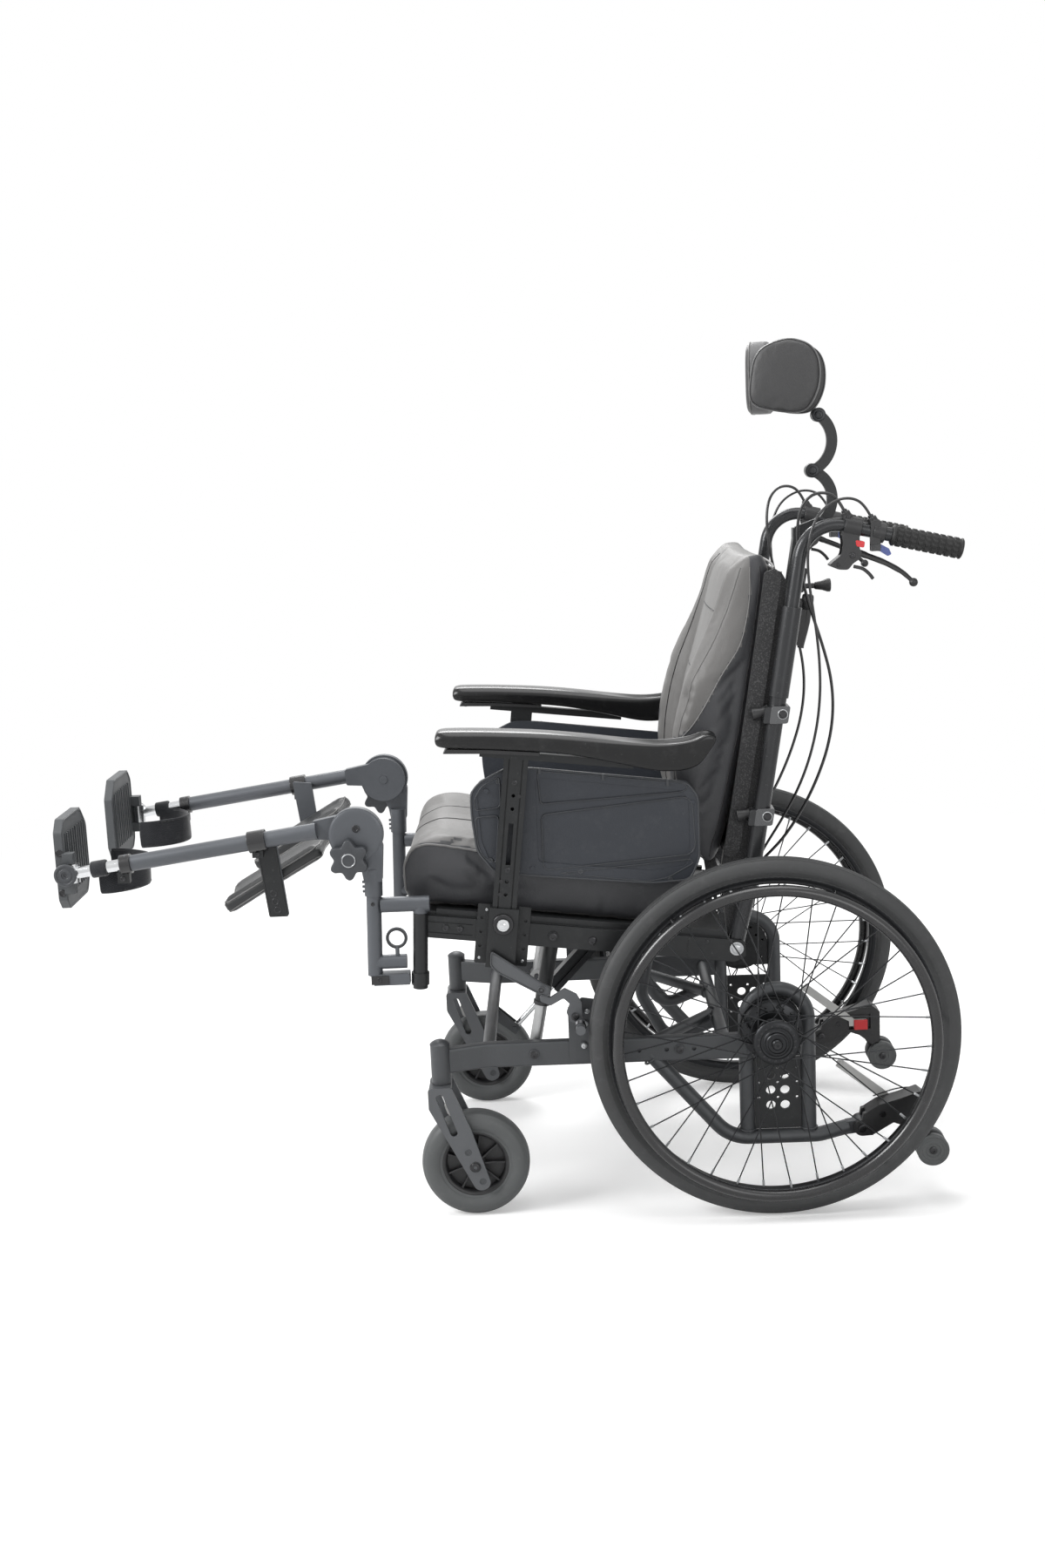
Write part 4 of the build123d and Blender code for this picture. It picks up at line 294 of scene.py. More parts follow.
def woven(name, tone, count=520.0, fold=0.3):
    """Plain weave: two crossed sets of threads raised in turn."""
    finish = Finish(name, Specular_IOR_Level=0.25, Sheen_Weight=0.35, Sheen_Roughness=0.4)
    finish.paint(tone, 0.82, 0.06, 0.3, 0.0, 0.25)
    axes = finish.node("SeparateXYZ", None, {0: finish.place}, output="X")
    parts = axes.socket.node.outputs
    across = (Wire(finish, parts["X"]) + Wire(finish, parts["Y"])) * (count * pi)
    along = Wire(finish, parts["Z"]) * (count * pi)
    threads = across.sine() * along.sine()
    under = finish.bump(finish.noise(30.0, 3.0), fold, 0.008)
    finish.feed("Normal", finish.bump(threads, 0.5, 0.0006, under))
    return finish.material


def speckled(name, tone, light):
    """Textured shell board with pale specks in its coarse grain."""
    finish = Finish(name, Specular_IOR_Level=0.4)
    grit = finish.noise(520.0, 3.0)
    base = finish.mix(grit.above(0.58, 0.08) * 0.55, tone, light)
    finish.feed("Base Color", base)
    finish.feed("Roughness", finish.noise(25.0, 3.0) * 0.2 + 0.55)
    finish.feed("Normal", finish.bump(grit, 0.5, 0.0006, finish.edge(0.0012)))
    return finish.material


def make_finishes(scene):
    """Every material of the chair, by the name used in this file."""
    tone, size = scene.chair_colours, scene.chair_sizes
    plastic = tuple(tone.plastic)
    return {
        "frame": powder_coat("charcoal_powder_coat", tuple(tone.frame_paint)),
        "leg": powder_coat("gunmetal_powder_coat", tuple(tone.leg_paint), 0.4),
        "bracket": powder_coat("satin_black_coat", tuple(tone.bracket_paint), 0.36),
        "plastic": moulded("moulded_black", plastic),
        "gloss": moulded("polished_black", (0.009, 0.009, 0.01), 0.26, 900.0, 0.05, 0.3),
        "panel": moulded("side_panel_plastic", tuple(tone.panel), 0.5, 900.0, 0.5),
        "arm": moulded("armrest_skin", (0.005, 0.005, 0.0054), 0.36, 1500.0, 0.12, 0.5, False,
                       0.12),
        "foot": moulded("footplate_plastic", (0.05, 0.054, 0.058), 0.5, 1000.0, 0.4),
        "knob": moulded("knob_plastic", (0.036, 0.039, 0.044), 0.42, 1100.0, 0.3),
        "tyre": rubber("tyre_rubber", tuple(tone.rubber)),
        "caster": rubber("caster_rubber", (0.075, 0.079, 0.08), 0.5),
        "grip": rubber("grip_rubber", (0.006, 0.006, 0.006), 0.55),
        "fork": powder_coat("fork_powder_coat", (0.09, 0.094, 0.1)),
        "cane": powder_coat("back_tube_coat", (0.026, 0.027, 0.029), 0.25),
        # Lit and shaded copies of the same leatherette: painted light on tops and fronts,
        # painted shade on the sides.
        "leather_lit": leatherette("leatherette", tuple(tone.leather_lit), size.leather_grain, 0.5,
                               0.3),
        "leather_shaded_side": leatherette("leatherette_shaded_side", tuple(tone.leather_shaded_side),
                                    size.leather_grain, 0.5, 0.35),
        "vinyl": leatherette("calf_pad_vinyl", (0.011, 0.012, 0.013), 0.0012, 0.34, 0.4),
        "head": leatherette("headrest_cover", (0.032, 0.032, 0.033), 0.0012, 0.48, 0.5),
        "head_edge": leatherette("headrest_edge", (0.11, 0.11, 0.112), 0.0013, 0.55, 0.3),
        "thread": woven("seam_thread", (0.02, 0.02, 0.021), 900.0, 0.1),
        # The piping is drawn paler than the leatherette it edges: a painted highlight along the
        # edges of the cushions and pads.
        "piping": leatherette("piping_painted_highlight", (0.14, 0.138, 0.136), 0.0009, 0.42, 0.2),
        "webbing": woven("strap_webbing", tuple(tone.webbing)),
        "shell": speckled("back_shell_board", (0.016, 0.016, 0.017), (0.1, 0.1, 0.102)),
        "steel": metal("brushed_steel", (0.42, 0.43, 0.44), 0.32),
        "band": metal("clamp_band_steel", (0.11, 0.112, 0.115), 0.28),
        "strut": metal("strut_aluminium", (0.42, 0.425, 0.425), 0.4),
        "chrome": metal("polished_steel", (0.62, 0.63, 0.64), 0.18),
        "black_metal": metal("black_anodised", (0.035, 0.036, 0.038), 0.34),
        "rim": metal("rim_anodised", (0.03, 0.031, 0.033), 0.38),
        "screw": metal("black_oxide_screws", (0.05, 0.05, 0.052), 0.3),
        "cable": moulded("cable_sheath", (0.012, 0.012, 0.013), 0.32, 400.0, 0.05,
                         0.2, False),
        "red": moulded("red_plastic", (0.55, 0.02, 0.025), 0.35, 1200.0, 0.15),
        "blue": moulded("blue_plastic", (0.1, 0.14, 0.42), 0.4, 1200.0, 0.15),
        "pale": moulded("pale_grey_plastic", (0.5, 0.5, 0.49), 0.45, 1200.0, 0.2),
    }


FINISHES = {}

# The CAD nodes of each finish; those not named here are plain plastic.
FINISH_NODES = {
    "frame": "base_frame", "fork": "caster_fork wheel_lock", "caster": "anti_tip_wheels",
    "pale": "anti_tip_release", "strut": "strut_rods", "cane": "back_frame",
    "bracket": "axle_brackets seat_frame strut_sleeves headrest_bar headrest_lower_arm "
               "headrest_upper_arm armrest_post",
    "black_metal": "tilt_spring_cylinder recline_spring_cylinder",
    "chrome": "tilt_spring_rod recline_spring_rod armrest_button leg_extension",
    "shell": "back_shell", "blue": "release_trigger", "panel": "side_panel",
    "leg": "leg_hanger leg_tube", "foot": "footplate",
}
NODE_FINISH = {node: finish for finish, nodes in FINISH_NODES.items()
               for node in nodes.split()}


# ---- mesh drawing --------------------------------------------------------------------
def seat_point(u, v):
    """The (y, z) of a place u back along the seat rail and v above its middle."""
    return (SEAT_MIDDLE[0] + u * cos(SEAT_TILT) + v * sin(SEAT_TILT),
            SEAT_MIDDLE[1] - u * sin(SEAT_TILT) + v * cos(SEAT_TILT))


def between(start, end, share):
    return tuple(a + (b - a) * share for a, b in zip(start, end))


def heading(start, end):
    """The unit direction from one (y, z) place to another."""
    return Vector((0, end[0] - start[0], end[1] - start[1])).normalized()


def axes(along):
    """A unit axis and two directions square to it."""
    axis = Vector(along).normalized()
    across = axis.orthogonal().normalized()
    return axis, across, axis.cross(across)


def circle(count, radius=1.0, at=(0.0, 0.0)):
    """Places evenly round a circle."""
    return [(at[0] + radius * cos(2 * pi * k / count), at[1] + radius * sin(2 * pi * k / count))
            for k in range(count)]


def whole(half):
    """An outline from its half, which begins and ends on the mirror line."""
    return half + [(-x, *rest) for x, *rest in half[-2:0:-1]]


def tyre(half, middle):
    """A tyre's section about its middle, from (distance, radius) points of one half."""
    return ([(middle - x, r) for x, r in half[::-1]]
            + [(middle + x, r) for x, r in half[1:]])


def graph(points, x):
    """The value at x of straight lines through (x, value) points."""
    for (x0, y0), (x1, y1) in zip(points, points[1:]):
        if x <= x1:
            return y0 + (y1 - y0) * max(0.0, (x - x0) / (x1 - x0))
    return points[-1][1]


def rounded(outline, radius, steps=4):
    """A closed outline with its corners turned into arcs."""
    made = []
    for index, corner in enumerate(outline):
        before, after = outline[index - 1], outline[(index + 1) % len(outline)]
        corner = Vector(corner)
        legs = [Vector(other) - corner for other in (before, after)]
        start, end = [corner + leg.normalized() * min(radius, leg.length * 0.45)
                      for leg in legs]
        for step in range(steps + 1):
            t = step / steps
            made.append(tuple(start * (1 - t) ** 2 + corner * 2 * t * (1 - t) + end * t * t))
    return made


def flowing(points, steps=6):
    """A smooth line through the points."""
    line = [Vector(point) for point in points]
    padded = [line[0] * 2 - line[1], *line, line[-1] * 2 - line[-2]]
    made = []
    for a, b, c, d in zip(padded, padded[1:], padded[2:], padded[3:]):
        for step in range(steps):
            t = step / steps
            made.append(0.5 * (b * 2 + (c - a) * t + (a * 2 - b * 5 + c * 4 - d) * t * t
                               + (b * 3 - a - c * 3 + d) * t ** 3))
    return made + [line[-1]]


class Form:
    """Points in millimetres and faces, gathered for one piece."""

    def __init__(self):
        self.points, self.faces, self.tints = [], [], []

    def add(self, points, faces, tint=0):
        base = len(self.points)
        self.points += [tuple(point) for point in points]
        self.faces += [tuple(base + index for index in face) for face in faces]
        self.tints += [tint] * len(faces)
        return self

    def rings(self, rings, loop=False, tint=0):
        """A skin over equal rings; loop joins the last ring to the first."""
        count, total = len(rings[0]), len(rings)
        faces = []
        for row in range(total if loop else total - 1):
            low, high = row * count, (row + 1) % total * count
            faces += [(low + k, low + (k + 1) % count, high + (k + 1) % count, high + k)
                      for k in range(count)]
        if not loop:
            faces += [tuple(range(count))[::-1], tuple(range((total - 1) * count,
                                                             total * count))]
        return self.add([point for ring in rings for point in ring], faces, tint)

    def turned(self, profile, at, along=OUT, sides=32, loop=False, tint=0,
               knurl=()):
        """Turn (distance, radius) points; a third item makes a ring six-sided, and the
        rows in knurl step in and out by the last item."""
        axis, across, up = axes(along)
        rings = []
        for row, step in enumerate(profile):
            ring = []
            for k in range(sides):
                turn = 2 * pi * k / sides
                radius = step[1]
                if len(step) > 2:
                    radius *= cos(pi / 6) / cos(turn % (pi / 3) - pi / 6)
                if knurl and row in knurl[0] and k // knurl[2] % 2:
                    radius -= knurl[1]
                ring.append(Vector(at) + axis * step[0]
                            + (across * cos(turn) + up * sin(turn)) * radius)
            rings.append(ring)
        return self.rings(rings, loop, tint)

    def swept(self, line, radius, sides=10, loop=False, flat=1.0, tint=0):
        """A bar along the points; radius may be a list and flat narrows it one way."""
        line = [Vector(point) for point in line]
        total = len(line)
        radii = radius if isinstance(radius, (list, tuple)) else [radius] * total
        up, rings = None, []
        for k, point in enumerate(line):
            if loop:
                run = line[(k + 1) % total] - line[k - 1]
            else:
                run = line[min(k + 1, total - 1)] - line[max(k - 1, 0)]
            run.normalize()
            up = run.orthogonal() if up is None else up - run * up.dot(run)
            up.normalize()
            side = run.cross(up)
            rings.append([point + (up * c * flat + side * s) * radii[k]
                          for c, s in circle(sides)])
        return self.rings(rings, loop, tint)

    def slab(self, outline, x0, x1, tint=0):
        """A (y, z) outline carried from x0 to x1."""
        return self.rings([[(x, *point) for point in outline] for x in (x0, x1)], tint=tint)

    def block(self, x, y, z, tint=0):
        """A block between pairs of limits."""
        return self.slab([(y[0], z[0]), (y[1], z[0]), (y[1], z[1]), (y[0], z[1])], *x, tint)

    def screw(self, at, along, radius, height, sunk=True, tint=0):
        """A cap screw with a hexagon socket, or a hexagon head with its washer."""
        if sunk:
            profile = [(-0.2, radius), (height * 0.75, radius), (height, radius * 0.8),
                       (height, radius * 0.5, 6), (height * 0.35, radius * 0.48, 6)]
        else:
            profile = [(-0.2, radius * 1.35), (0.9, radius * 1.35), (1.0, radius, 6),
                       (height * 0.85, radius, 6), (height, radius * 0.8)]
        return self.turned(profile, at, along, 24, tint=tint)

    def both(self):
        """This form and its mirror image across the chair."""
        other = Form()
        other.add([(-x, y, z) for x, y, z in self.points],
                  [face[::-1] for face in self.faces])
        other.tints = list(self.tints)
        base = len(self.points)
        self.points += other.points
        self.faces += [tuple(base + index for index in face) for face in other.faces]
        self.tints += other.tints
        return self

    def build(self, name, finishes, body, bevel=0.0, levels=0, stands_for=(), sharp=38.0,
              side=1):
        """Make the piece in metres, ride it on its body and name what it replaces."""
        mesh = bpy.data.meshes.new(name)
        mesh.from_pydata([(x * MM * side, y * MM, z * MM) for x, y, z in self.points], [],
                         self.faces)
        finishes = finishes if isinstance(finishes, (list, tuple)) else [finishes]
        for finish in finishes:
            mesh.materials.append(FINISHES[finish])
        mesh.polygons.foreach_set("material_index", self.tints)
        shape = bmesh.new()
        shape.from_mesh(mesh)
        bmesh.ops.recalc_face_normals(shape, faces=shape.faces)
        shape.to_mesh(mesh)
        shape.free()
        mesh.shade_smooth()
        mesh.set_sharp_from_angle(angle=radians(sharp))
        piece = bpy.data.objects.new(name, mesh)
        bpy.context.scene.collection.objects.link(piece)
        if bevel:
            edge = piece.modifiers.new("edges", "BEVEL")
            edge.width, edge.segments, edge.limit_method = bevel * MM, 2, "ANGLE"
            edge.angle_limit = radians(38)
            edge.use_clamp_overlap = True
        if levels:
            smooth = piece.modifiers.new("smooth", "SUBSURF")
            smooth.levels = smooth.render_levels = levels
        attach(piece, body)
        if stands_for:
            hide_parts(*([stands_for] if isinstance(stands_for, str)
                                 else stands_for))
        return piece

    def pair(self, name, finishes, body, stands_for="", **how):
        """Left and right pieces, each on its own side's body, or on one shared body."""
        made = []
        for word, side in SIDES:
            own = body if body in FRAME["bodies"] else f"{body}_{word}"
            node = f"{stands_for}_{word}" if stands_for else ()
            made.append(self.build(f"{name}_{word}", finishes, own, side=side,
                                   stands_for=node, **how))
        return made


def shaped(piece, voxel, pressure, cap):
    """Remesh a pad evenly, swell it as sewn cloth, and hold each point near its place."""
    scene = bpy.context.scene
    bpy.context.view_layer.objects.active = piece
    grid = piece.modifiers.new("even", "REMESH")
    grid.mode, grid.voxel_size = "VOXEL", voxel * MM
    settle = piece.modifiers.new("settle", "SMOOTH")
    settle.factor, settle.iterations = 0.5, 6
    graph_now = bpy.context.evaluated_depsgraph_get()
    even = bpy.data.meshes.new_from_object(piece.evaluated_get(graph_now))
    materials = list(piece.data.materials)
    piece.modifiers.clear()
    piece.data = even
    even.materials.clear()
    for material in materials:
        even.materials.append(material)
    rest = [vertex.co.copy() for vertex in even.vertices]
    swell = piece.modifiers.new("swell", "CLOTH")
    settings = swell.settings
    settings.use_pressure, settings.uniform_pressure_force = True, pressure
    settings.effector_weights.gravity = 0
    settings.tension_stiffness = settings.compression_stiffness = 20
    settings.quality = 4
    swell.point_cache.frame_start, swell.point_cache.frame_end = 1, 20
    for frame in range(1, 21):
        scene.frame_set(frame)
    moved = piece.evaluated_get(bpy.context.evaluated_depsgraph_get())
    swollen = [vertex.co.copy() for vertex in moved.data.vertices]
    piece.modifiers.remove(swell)
    scene.frame_set(1)
    for vertex, start, end in zip(even.vertices, rest, swollen):
        shift = end - start
        if shift.length > cap * MM:
            shift *= cap * MM / shift.length
        vertex.co = start + shift
    smooth = piece.modifiers.new("smooth", "SUBSURF")
    smooth.levels = smooth.render_levels = 1
    even.shade_smooth()
    return piece


def sculpt(piece, move):
    """Shift each point of a pad by move(point in mm)."""
    for vertex in piece.data.vertices:
        vertex.co += Vector(move(vertex.co / MM)) * MM


def tint_by(piece, choose):
    """Give each face the finish number that choose(centre in mm, normal) returns."""
    for face in piece.data.polygons:
        face.material_index = choose(face.center / MM, face.normal)


def laid_on(piece, points, lift=0.0, steps=6):
    """A smooth line through the points, brought onto the pad's surface."""
    graph_now = bpy.context.evaluated_depsgraph_get()
    mesh = piece.evaluated_get(graph_now).to_mesh()
    tree = BVHTree.FromPolygons([vertex.co / MM for vertex in mesh.vertices],
                                [face.vertices[:] for face in mesh.polygons])
    made = []
    for point in flowing(points, steps):
        found, normal, _, _ = tree.find_nearest(point)
        made.append(found + normal * lift)
    return made


def seam(piece, name, line, finish, body, radius, lift=0.0, steps=6, loop=False):
    """A sewn ridge or piping along a line on the pad; loop closes the line."""
    laid = laid_on(piece, line + line[:1] if loop else line, lift, steps)
    return Form().swept(laid[:-1] if loop else laid, radius, 8, loop).build(
        name, finish, body)


# ---- operators -----------------------------------------------------------------------
class Task:
    """What every operator of this file shares."""
    bl_options = {"REGISTER", "UNDO"}

    def execute(self, context):
        self.make(context.scene)
        return {"FINISHED"}


class WHEELCHAIR_OT_stage(Task, bpy.types.Operator):
    """Set up the floor, the soft studio light and the camera"""
    bl_idname, bl_label = "wheelchair.stage", "Stage"

    def make(self, scene):
        scene.view_settings.view_transform = "Standard"
        camera = bpy.data.objects.new("camera", bpy.data.cameras.new("camera"))
        scene.collection.objects.link(camera)
        camera.data.lens, camera.data.sensor_width = 41.69, 36.0
        camera.data.clip_end = 60.0
        yaw, pitch, roll = -0.0243, 0.1851, -0.0454
        ahead = Vector((-cos(pitch) * cos(yaw), cos(pitch) * sin(yaw), -sin(pitch)))
        right = Vector((sin(yaw), cos(yaw), 0.0))
        up = right.cross(ahead)
        across = right * cos(roll) + up * sin(roll)
        above = up * cos(roll) - right * sin(roll)
        camera.matrix_world = Matrix.Translation((3.1646, 0.1004, 1.2772)) @ Matrix(
            (across, above, -ahead)).transposed().to_4x4()
        scene.camera = camera

        floor = Form().rings([[(x * 9000, y * 9000, z) for x, y in (
            (-1, -1), (1, -1), (1, 1), (-1, 1))] for z in (0, -10)])
        mesh = bpy.data.meshes.new("floor")
        mesh.from_pydata([Vector(p) * MM for p in floor.points], [], floor.faces)
        sheet = bpy.data.objects.new("floor", mesh)
        scene.collection.objects.link(sheet)
        white = Finish("studio_floor", Roughness=0.6, Specular_IOR_Level=0.2)
        white.feed("Base Color", white.mix(white.noise(3.0), (0.8, 0.8, 0.8),
                                           (0.83, 0.83, 0.83)))
        ray = white.node("LightPath", output="Is Camera Ray")
        lit = white.node("AddShader", None, {
            0: Wire(white, white.shader.outputs[0]),
            1: white.node("Emission", None, {"Strength": ray * 0.3})})
        far = white.node("VectorMath", {"operation": "LENGTH"}, {0: white.place},
                         output="Value").above(2.5, 0.8)
        shown = white.node("MixShader", None, {0: far, 1: lit, 2: white.node("Emission")})
        white.tree.links.new(shown.socket,
                             white.tree.nodes["Material Output"].inputs["Surface"])
        mesh.materials.append(white.material)

        world = bpy.data.worlds.new("studio")
        world.use_nodes = True
        scene.world = world
        tree = world.node_tree
        light = tree.nodes["Background"]
        light.inputs["Color"].default_value = (1, 1, 1, 1)
        ray = tree.nodes.new("ShaderNodeLightPath")
        seen = ray.outputs["Is Camera Ray"]
        for output in ("Is Glossy Ray", "Is Transmission Ray"):
            most = tree.nodes.new("ShaderNodeMath")
            most.operation = "MAXIMUM"
            tree.links.new(seen, most.inputs[0])
            tree.links.new(ray.outputs[output], most.inputs[1])
            seen = most.outputs[0]
        scale = tree.nodes.new("ShaderNodeMapRange")
        scale.inputs["To Min"].default_value = 0.45
        tree.links.new(seen, scale.inputs["Value"])
        tree.links.new(scale.outputs[0], light.inputs["Strength"])

        for name, place, aim, size, power in (
                ("key_softbox", (1.3, -3.0, 2.5), (0.0, 0.1, 0.7), 1.7, 125.0),
                ("top_softbox", (0.4, 0.3, 3.8), (0.0, 0.1, 0.4), 2.4, 60.0),
                ("rim_softbox", (-2.3, -0.3, 2.9), (0.0, 0.1, 0.6), 1.5, 60.0),
                ("fill_softbox", (3.6, 1.9, 1.4), (0.0, 0.1, 0.5), 1.8, 24.0)):
            lamp = bpy.data.lights.new(name, "AREA")
            lamp.shape, lamp.size, lamp.energy = "SQUARE", size, power
            holder = bpy.data.objects.new(name, lamp)
            scene.collection.objects.link(holder)
            holder.location = place
            holder.rotation_mode = "QUATERNION"
            holder.rotation_quaternion = (Vector(aim) - Vector(place)).to_track_quat(
                "-Z", "Y")


class WHEELCHAIR_OT_finishes(Task, bpy.types.Operator):
    """Lay out the materials and coat the frame parts that come from the CAD model"""
    bl_idname, bl_label = "wheelchair.finishes", "Frame finishes"

    def make(self, scene):
        FINISHES.update(make_finishes(scene))
        for node, piece in FRAME["nodes"].items():
            stem = node.rsplit("_", 1)[0] if node.endswith(("_left", "_right")) else node
            piece.data.materials.clear()
            piece.data.materials.append(FINISHES[NODE_FINISH.get(stem, "plastic")])


class WHEELCHAIR_OT_cables(Task, bpy.types.Operator):
    """Lay the brake and release cables from the handles down behind the back"""
    bl_idname, bl_label = "wheelchair.cables", "Cables"

    BRAKE = [(232, 560.83, 1150.14), (231.5, 551.5, 1169.5), (229, 533, 1180),
             (224.5, 511.5, 1177.5), (219, 496, 1160.5), (214.5, 489.5, 1135),
             (211, 489, 1104), (208, 492.5, 1070), (204, 499, 1030), (198, 512, 985),
             (190, 530, 932), (182, 545, 876), (175, 549, 818), (168, 541, 760),
             (160, 522, 702), (150, 498, 650), (139, 470, 603), (128, 442, 570),
             (117.30, 412.01, 539.59), (114.32, 397.08, 513.91)]
    RELEASE = [(232, 602.87, 1139.94), (233, 593.3, 1158), (238, 574, 1169.5),
               (244, 548, 1168.5), (249, 521.5, 1152), (251, 506, 1124),
               (250.5, 500, 1090), (249, 500, 1052), (244, 506, 1008), (238, 514, 958),
               (228, 520, 902), (218, 521, 846), (208, 515, 790), (196, 502, 734),
               (182, 482, 680), (165, 457, 630), (146, 431, 583),
               (133.30, 412.01, 539.59), (130.32, 397.08, 513.91)]

    def make(self, scene):
        for kind, route, radius in (("brake", self.BRAKE, 2.5),
                                    ("release", self.RELEASE, 2.2)):
            for word, side in SIDES:
                curve = bpy.data.curves.new(f"{kind}_cable_{word}", "CURVE")
                curve.dimensions = "3D"
                line = curve.splines.new("NURBS")
                line.points.add(len(route) - 1)
                for point, (x, y, z) in zip(line.points, route):
                    point.co = (x * side * MM, y * MM, z * MM, 1)
                line.order_u = 3
                line.use_endpoint_u = True
                line.resolution_u = 8
                cable = bpy.data.objects.new(curve.name, curve)
                scene.collection.objects.link(cable)
                bare = bpy.data.meshes.new_from_object(
                    cable.evaluated_get(bpy.context.evaluated_depsgraph_get()))
                curve.bevel_depth, curve.bevel_resolution = radius * MM, 4
                curve.use_fill_caps = True
                curve.materials.append(FINISHES["cable"])
                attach(cable, "back")
                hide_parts("cables")


class WHEELCHAIR_OT_drive_wheels(Task, bpy.types.Operator):
    """Turn the tyres, rims, hubs and handrims and lace the spokes"""
    bl_idname, bl_label = "wheelchair.drive_wheels", "Drive wheels"

    def make(self, scene):
        axle = (0, *AXLE)
        deep = scene.chair_sizes.tread_depth / MM
        half = [(0, 304 - deep), (0.9, 304 - deep), (1.2, 304), (5.2, 303.6),
                (5.5, 303.6 - deep), (6.6, 303.4 - deep), (6.9, 303.2), (10.4, 301.9),
                (10.8, 300.9), (11.8, 300.4), (12.2, 300.9), (14.6, 298.2), (16.4, 294.2),
                (17.6, 289.0), (17.9, 285.5), (17.4, 281.4), (16.6, 280.9), (16.4, 279.6),
                (15.0, 276.6), (13.4, 275.0), (12.7, 274.2), (12.7, 272.9)]
        ring = tyre(half, WHEEL_X)
        shoulder = [k for k, (x, r) in enumerate(ring) if 10.5 < abs(x - WHEEL_X) < 15]
        Form().turned(ring, axle, sides=360, loop=True, knurl=(shoulder, 0.8, 1)).pair(
            "drive_tyre", "tyre", "wheel", "drive_tyre", sharp=25)
        rim = Form()
        rim.turned([(WHEEL_X + x, r) for x, r in (
            (-12.5, 273.4), (-12.9, 268), (-11.6, 264.6), (-7.4, 262.2), (-6, 260.2),
            (0, 259.9), (6, 260.2), (7.4, 262.2), (11.6, 264.6), (12.9, 268),
            (12.5, 273.4), (10.8, 273.2), (-10.8, 273.2))], axle, sides=192, loop=True)
        rim.turned(circle(20, 9.45, (354, 257.5)), axle, sides=160, loop=True, tint=1)
        for index in range(6):
            turn = radians(60 * index + 8)
            foot, place = [(AXLE[0] + r * cos(turn), AXLE[1] + r * sin(turn))
                           for r in (265.0, 257.5)]
            rim.swept([(319, *foot), (331, *foot), (340, *place), (345, *place)],
                      [3.8, 3.4, 3.8, 4.6], 12, tint=1)
            rim.screw((325, *between(foot, AXLE, -0.012)), (-1, 0, 0), 2.6, 2)
        rim.pair("drive_rim", ["rim", "gloss"], "wheel", "drive_wheel", sharp=30)

        spokes = Form()
        for index in range(36):
            flange = 338.0 if index % 2 else 290.0
            lead = 58.0 if index // 2 % 2 else -58.0
            nipple = radians(10 * (index + 0.5))
            start = nipple - radians(lead)
            aside = 1.35 if lead > 0 else -1.35
            root = Vector((flange + aside, AXLE[0] + 32.5 * cos(start),
                           AXLE[1] + 32.5 * sin(start)))
            tip = Vector((WHEEL_X + aside + (3 if index % 2 else -3),
                          AXLE[0] + 261.5 * cos(nipple), AXLE[1] + 261.5 * sin(nipple)))
            run = (tip - root).normalized()
            spokes.swept([root, tip], 1.15, 8)
            spokes.swept([tip - run * 13, tip - run * 12.4, tip], [1.5, 2.1, 2.1], 8, tint=1)
            spokes.swept([root - Vector((aside * 2.2, 0, 0)), root], 1.5, 8)
        spokes.turned([(0, 3.2), (16, 3.2), (17, 2.8), (22, 2.8), (23, 3.6), (30, 3.4),
                       (31, 2.4)], (WHEEL_X, AXLE[0] - 92, AXLE[1] + 243.5), (0, 0.354,
                                                                              -0.935), 16)
        spokes.pair("spokes", ["black_metal", "steel"], "wheel")

        hub = Form()
        hub.turned([(262, 6.1), (262, 46), (265, 50), (270, 50), (271, 48.6), (273, 48.6),
                    (274, 50), (278, 50), (279, 48.6), (281, 48.6), (282, 50), (284, 50),
                    (288, 39), (289, 37.5), (294, 37.5), (294.6, 36.6), (295, 27),
                    (299, 24), (329, 24), (333, 27), (333.4, 36.6), (334, 37.5),
                    (340.4, 37.5), (341.6, 36.4), (343.4, 33), (344, 31), (344, 27),
                    (343, 26), (343, 22.4), (344, 21.4), (345, 19.4), (349.6, 19),
                    (351, 17.6), (351, 15.4), (349.2, 14.6), (349.2, 9.2), (352.6, 8.8),
                    (354.6, 7.2), (355.2, 4.0), (355.2, 0.05)], axle, sides=72)
        for index in range(18):
            turn = 2 * pi * (index + 0.25) / 18
            for x, reach in ((287.6, 44), (344.2, 30)):
                centre = (x, AXLE[0] + reach * cos(turn), AXLE[1] + reach * sin(turn))
                hub.turned([(-0.6, 2.0), (0.3, 1.9), (0.5, 1.2)], centre, sides=10, tint=1)
        hub.turned([(0, 5.6), (0.8, 5.4), (0.9, 3.1, 6), (0.1, 3.0, 6)], (355.0, *AXLE),
                   sides=24, tint=1)
        hub.pair("hub", ["black_metal", "screw"], "wheel", sharp=30)


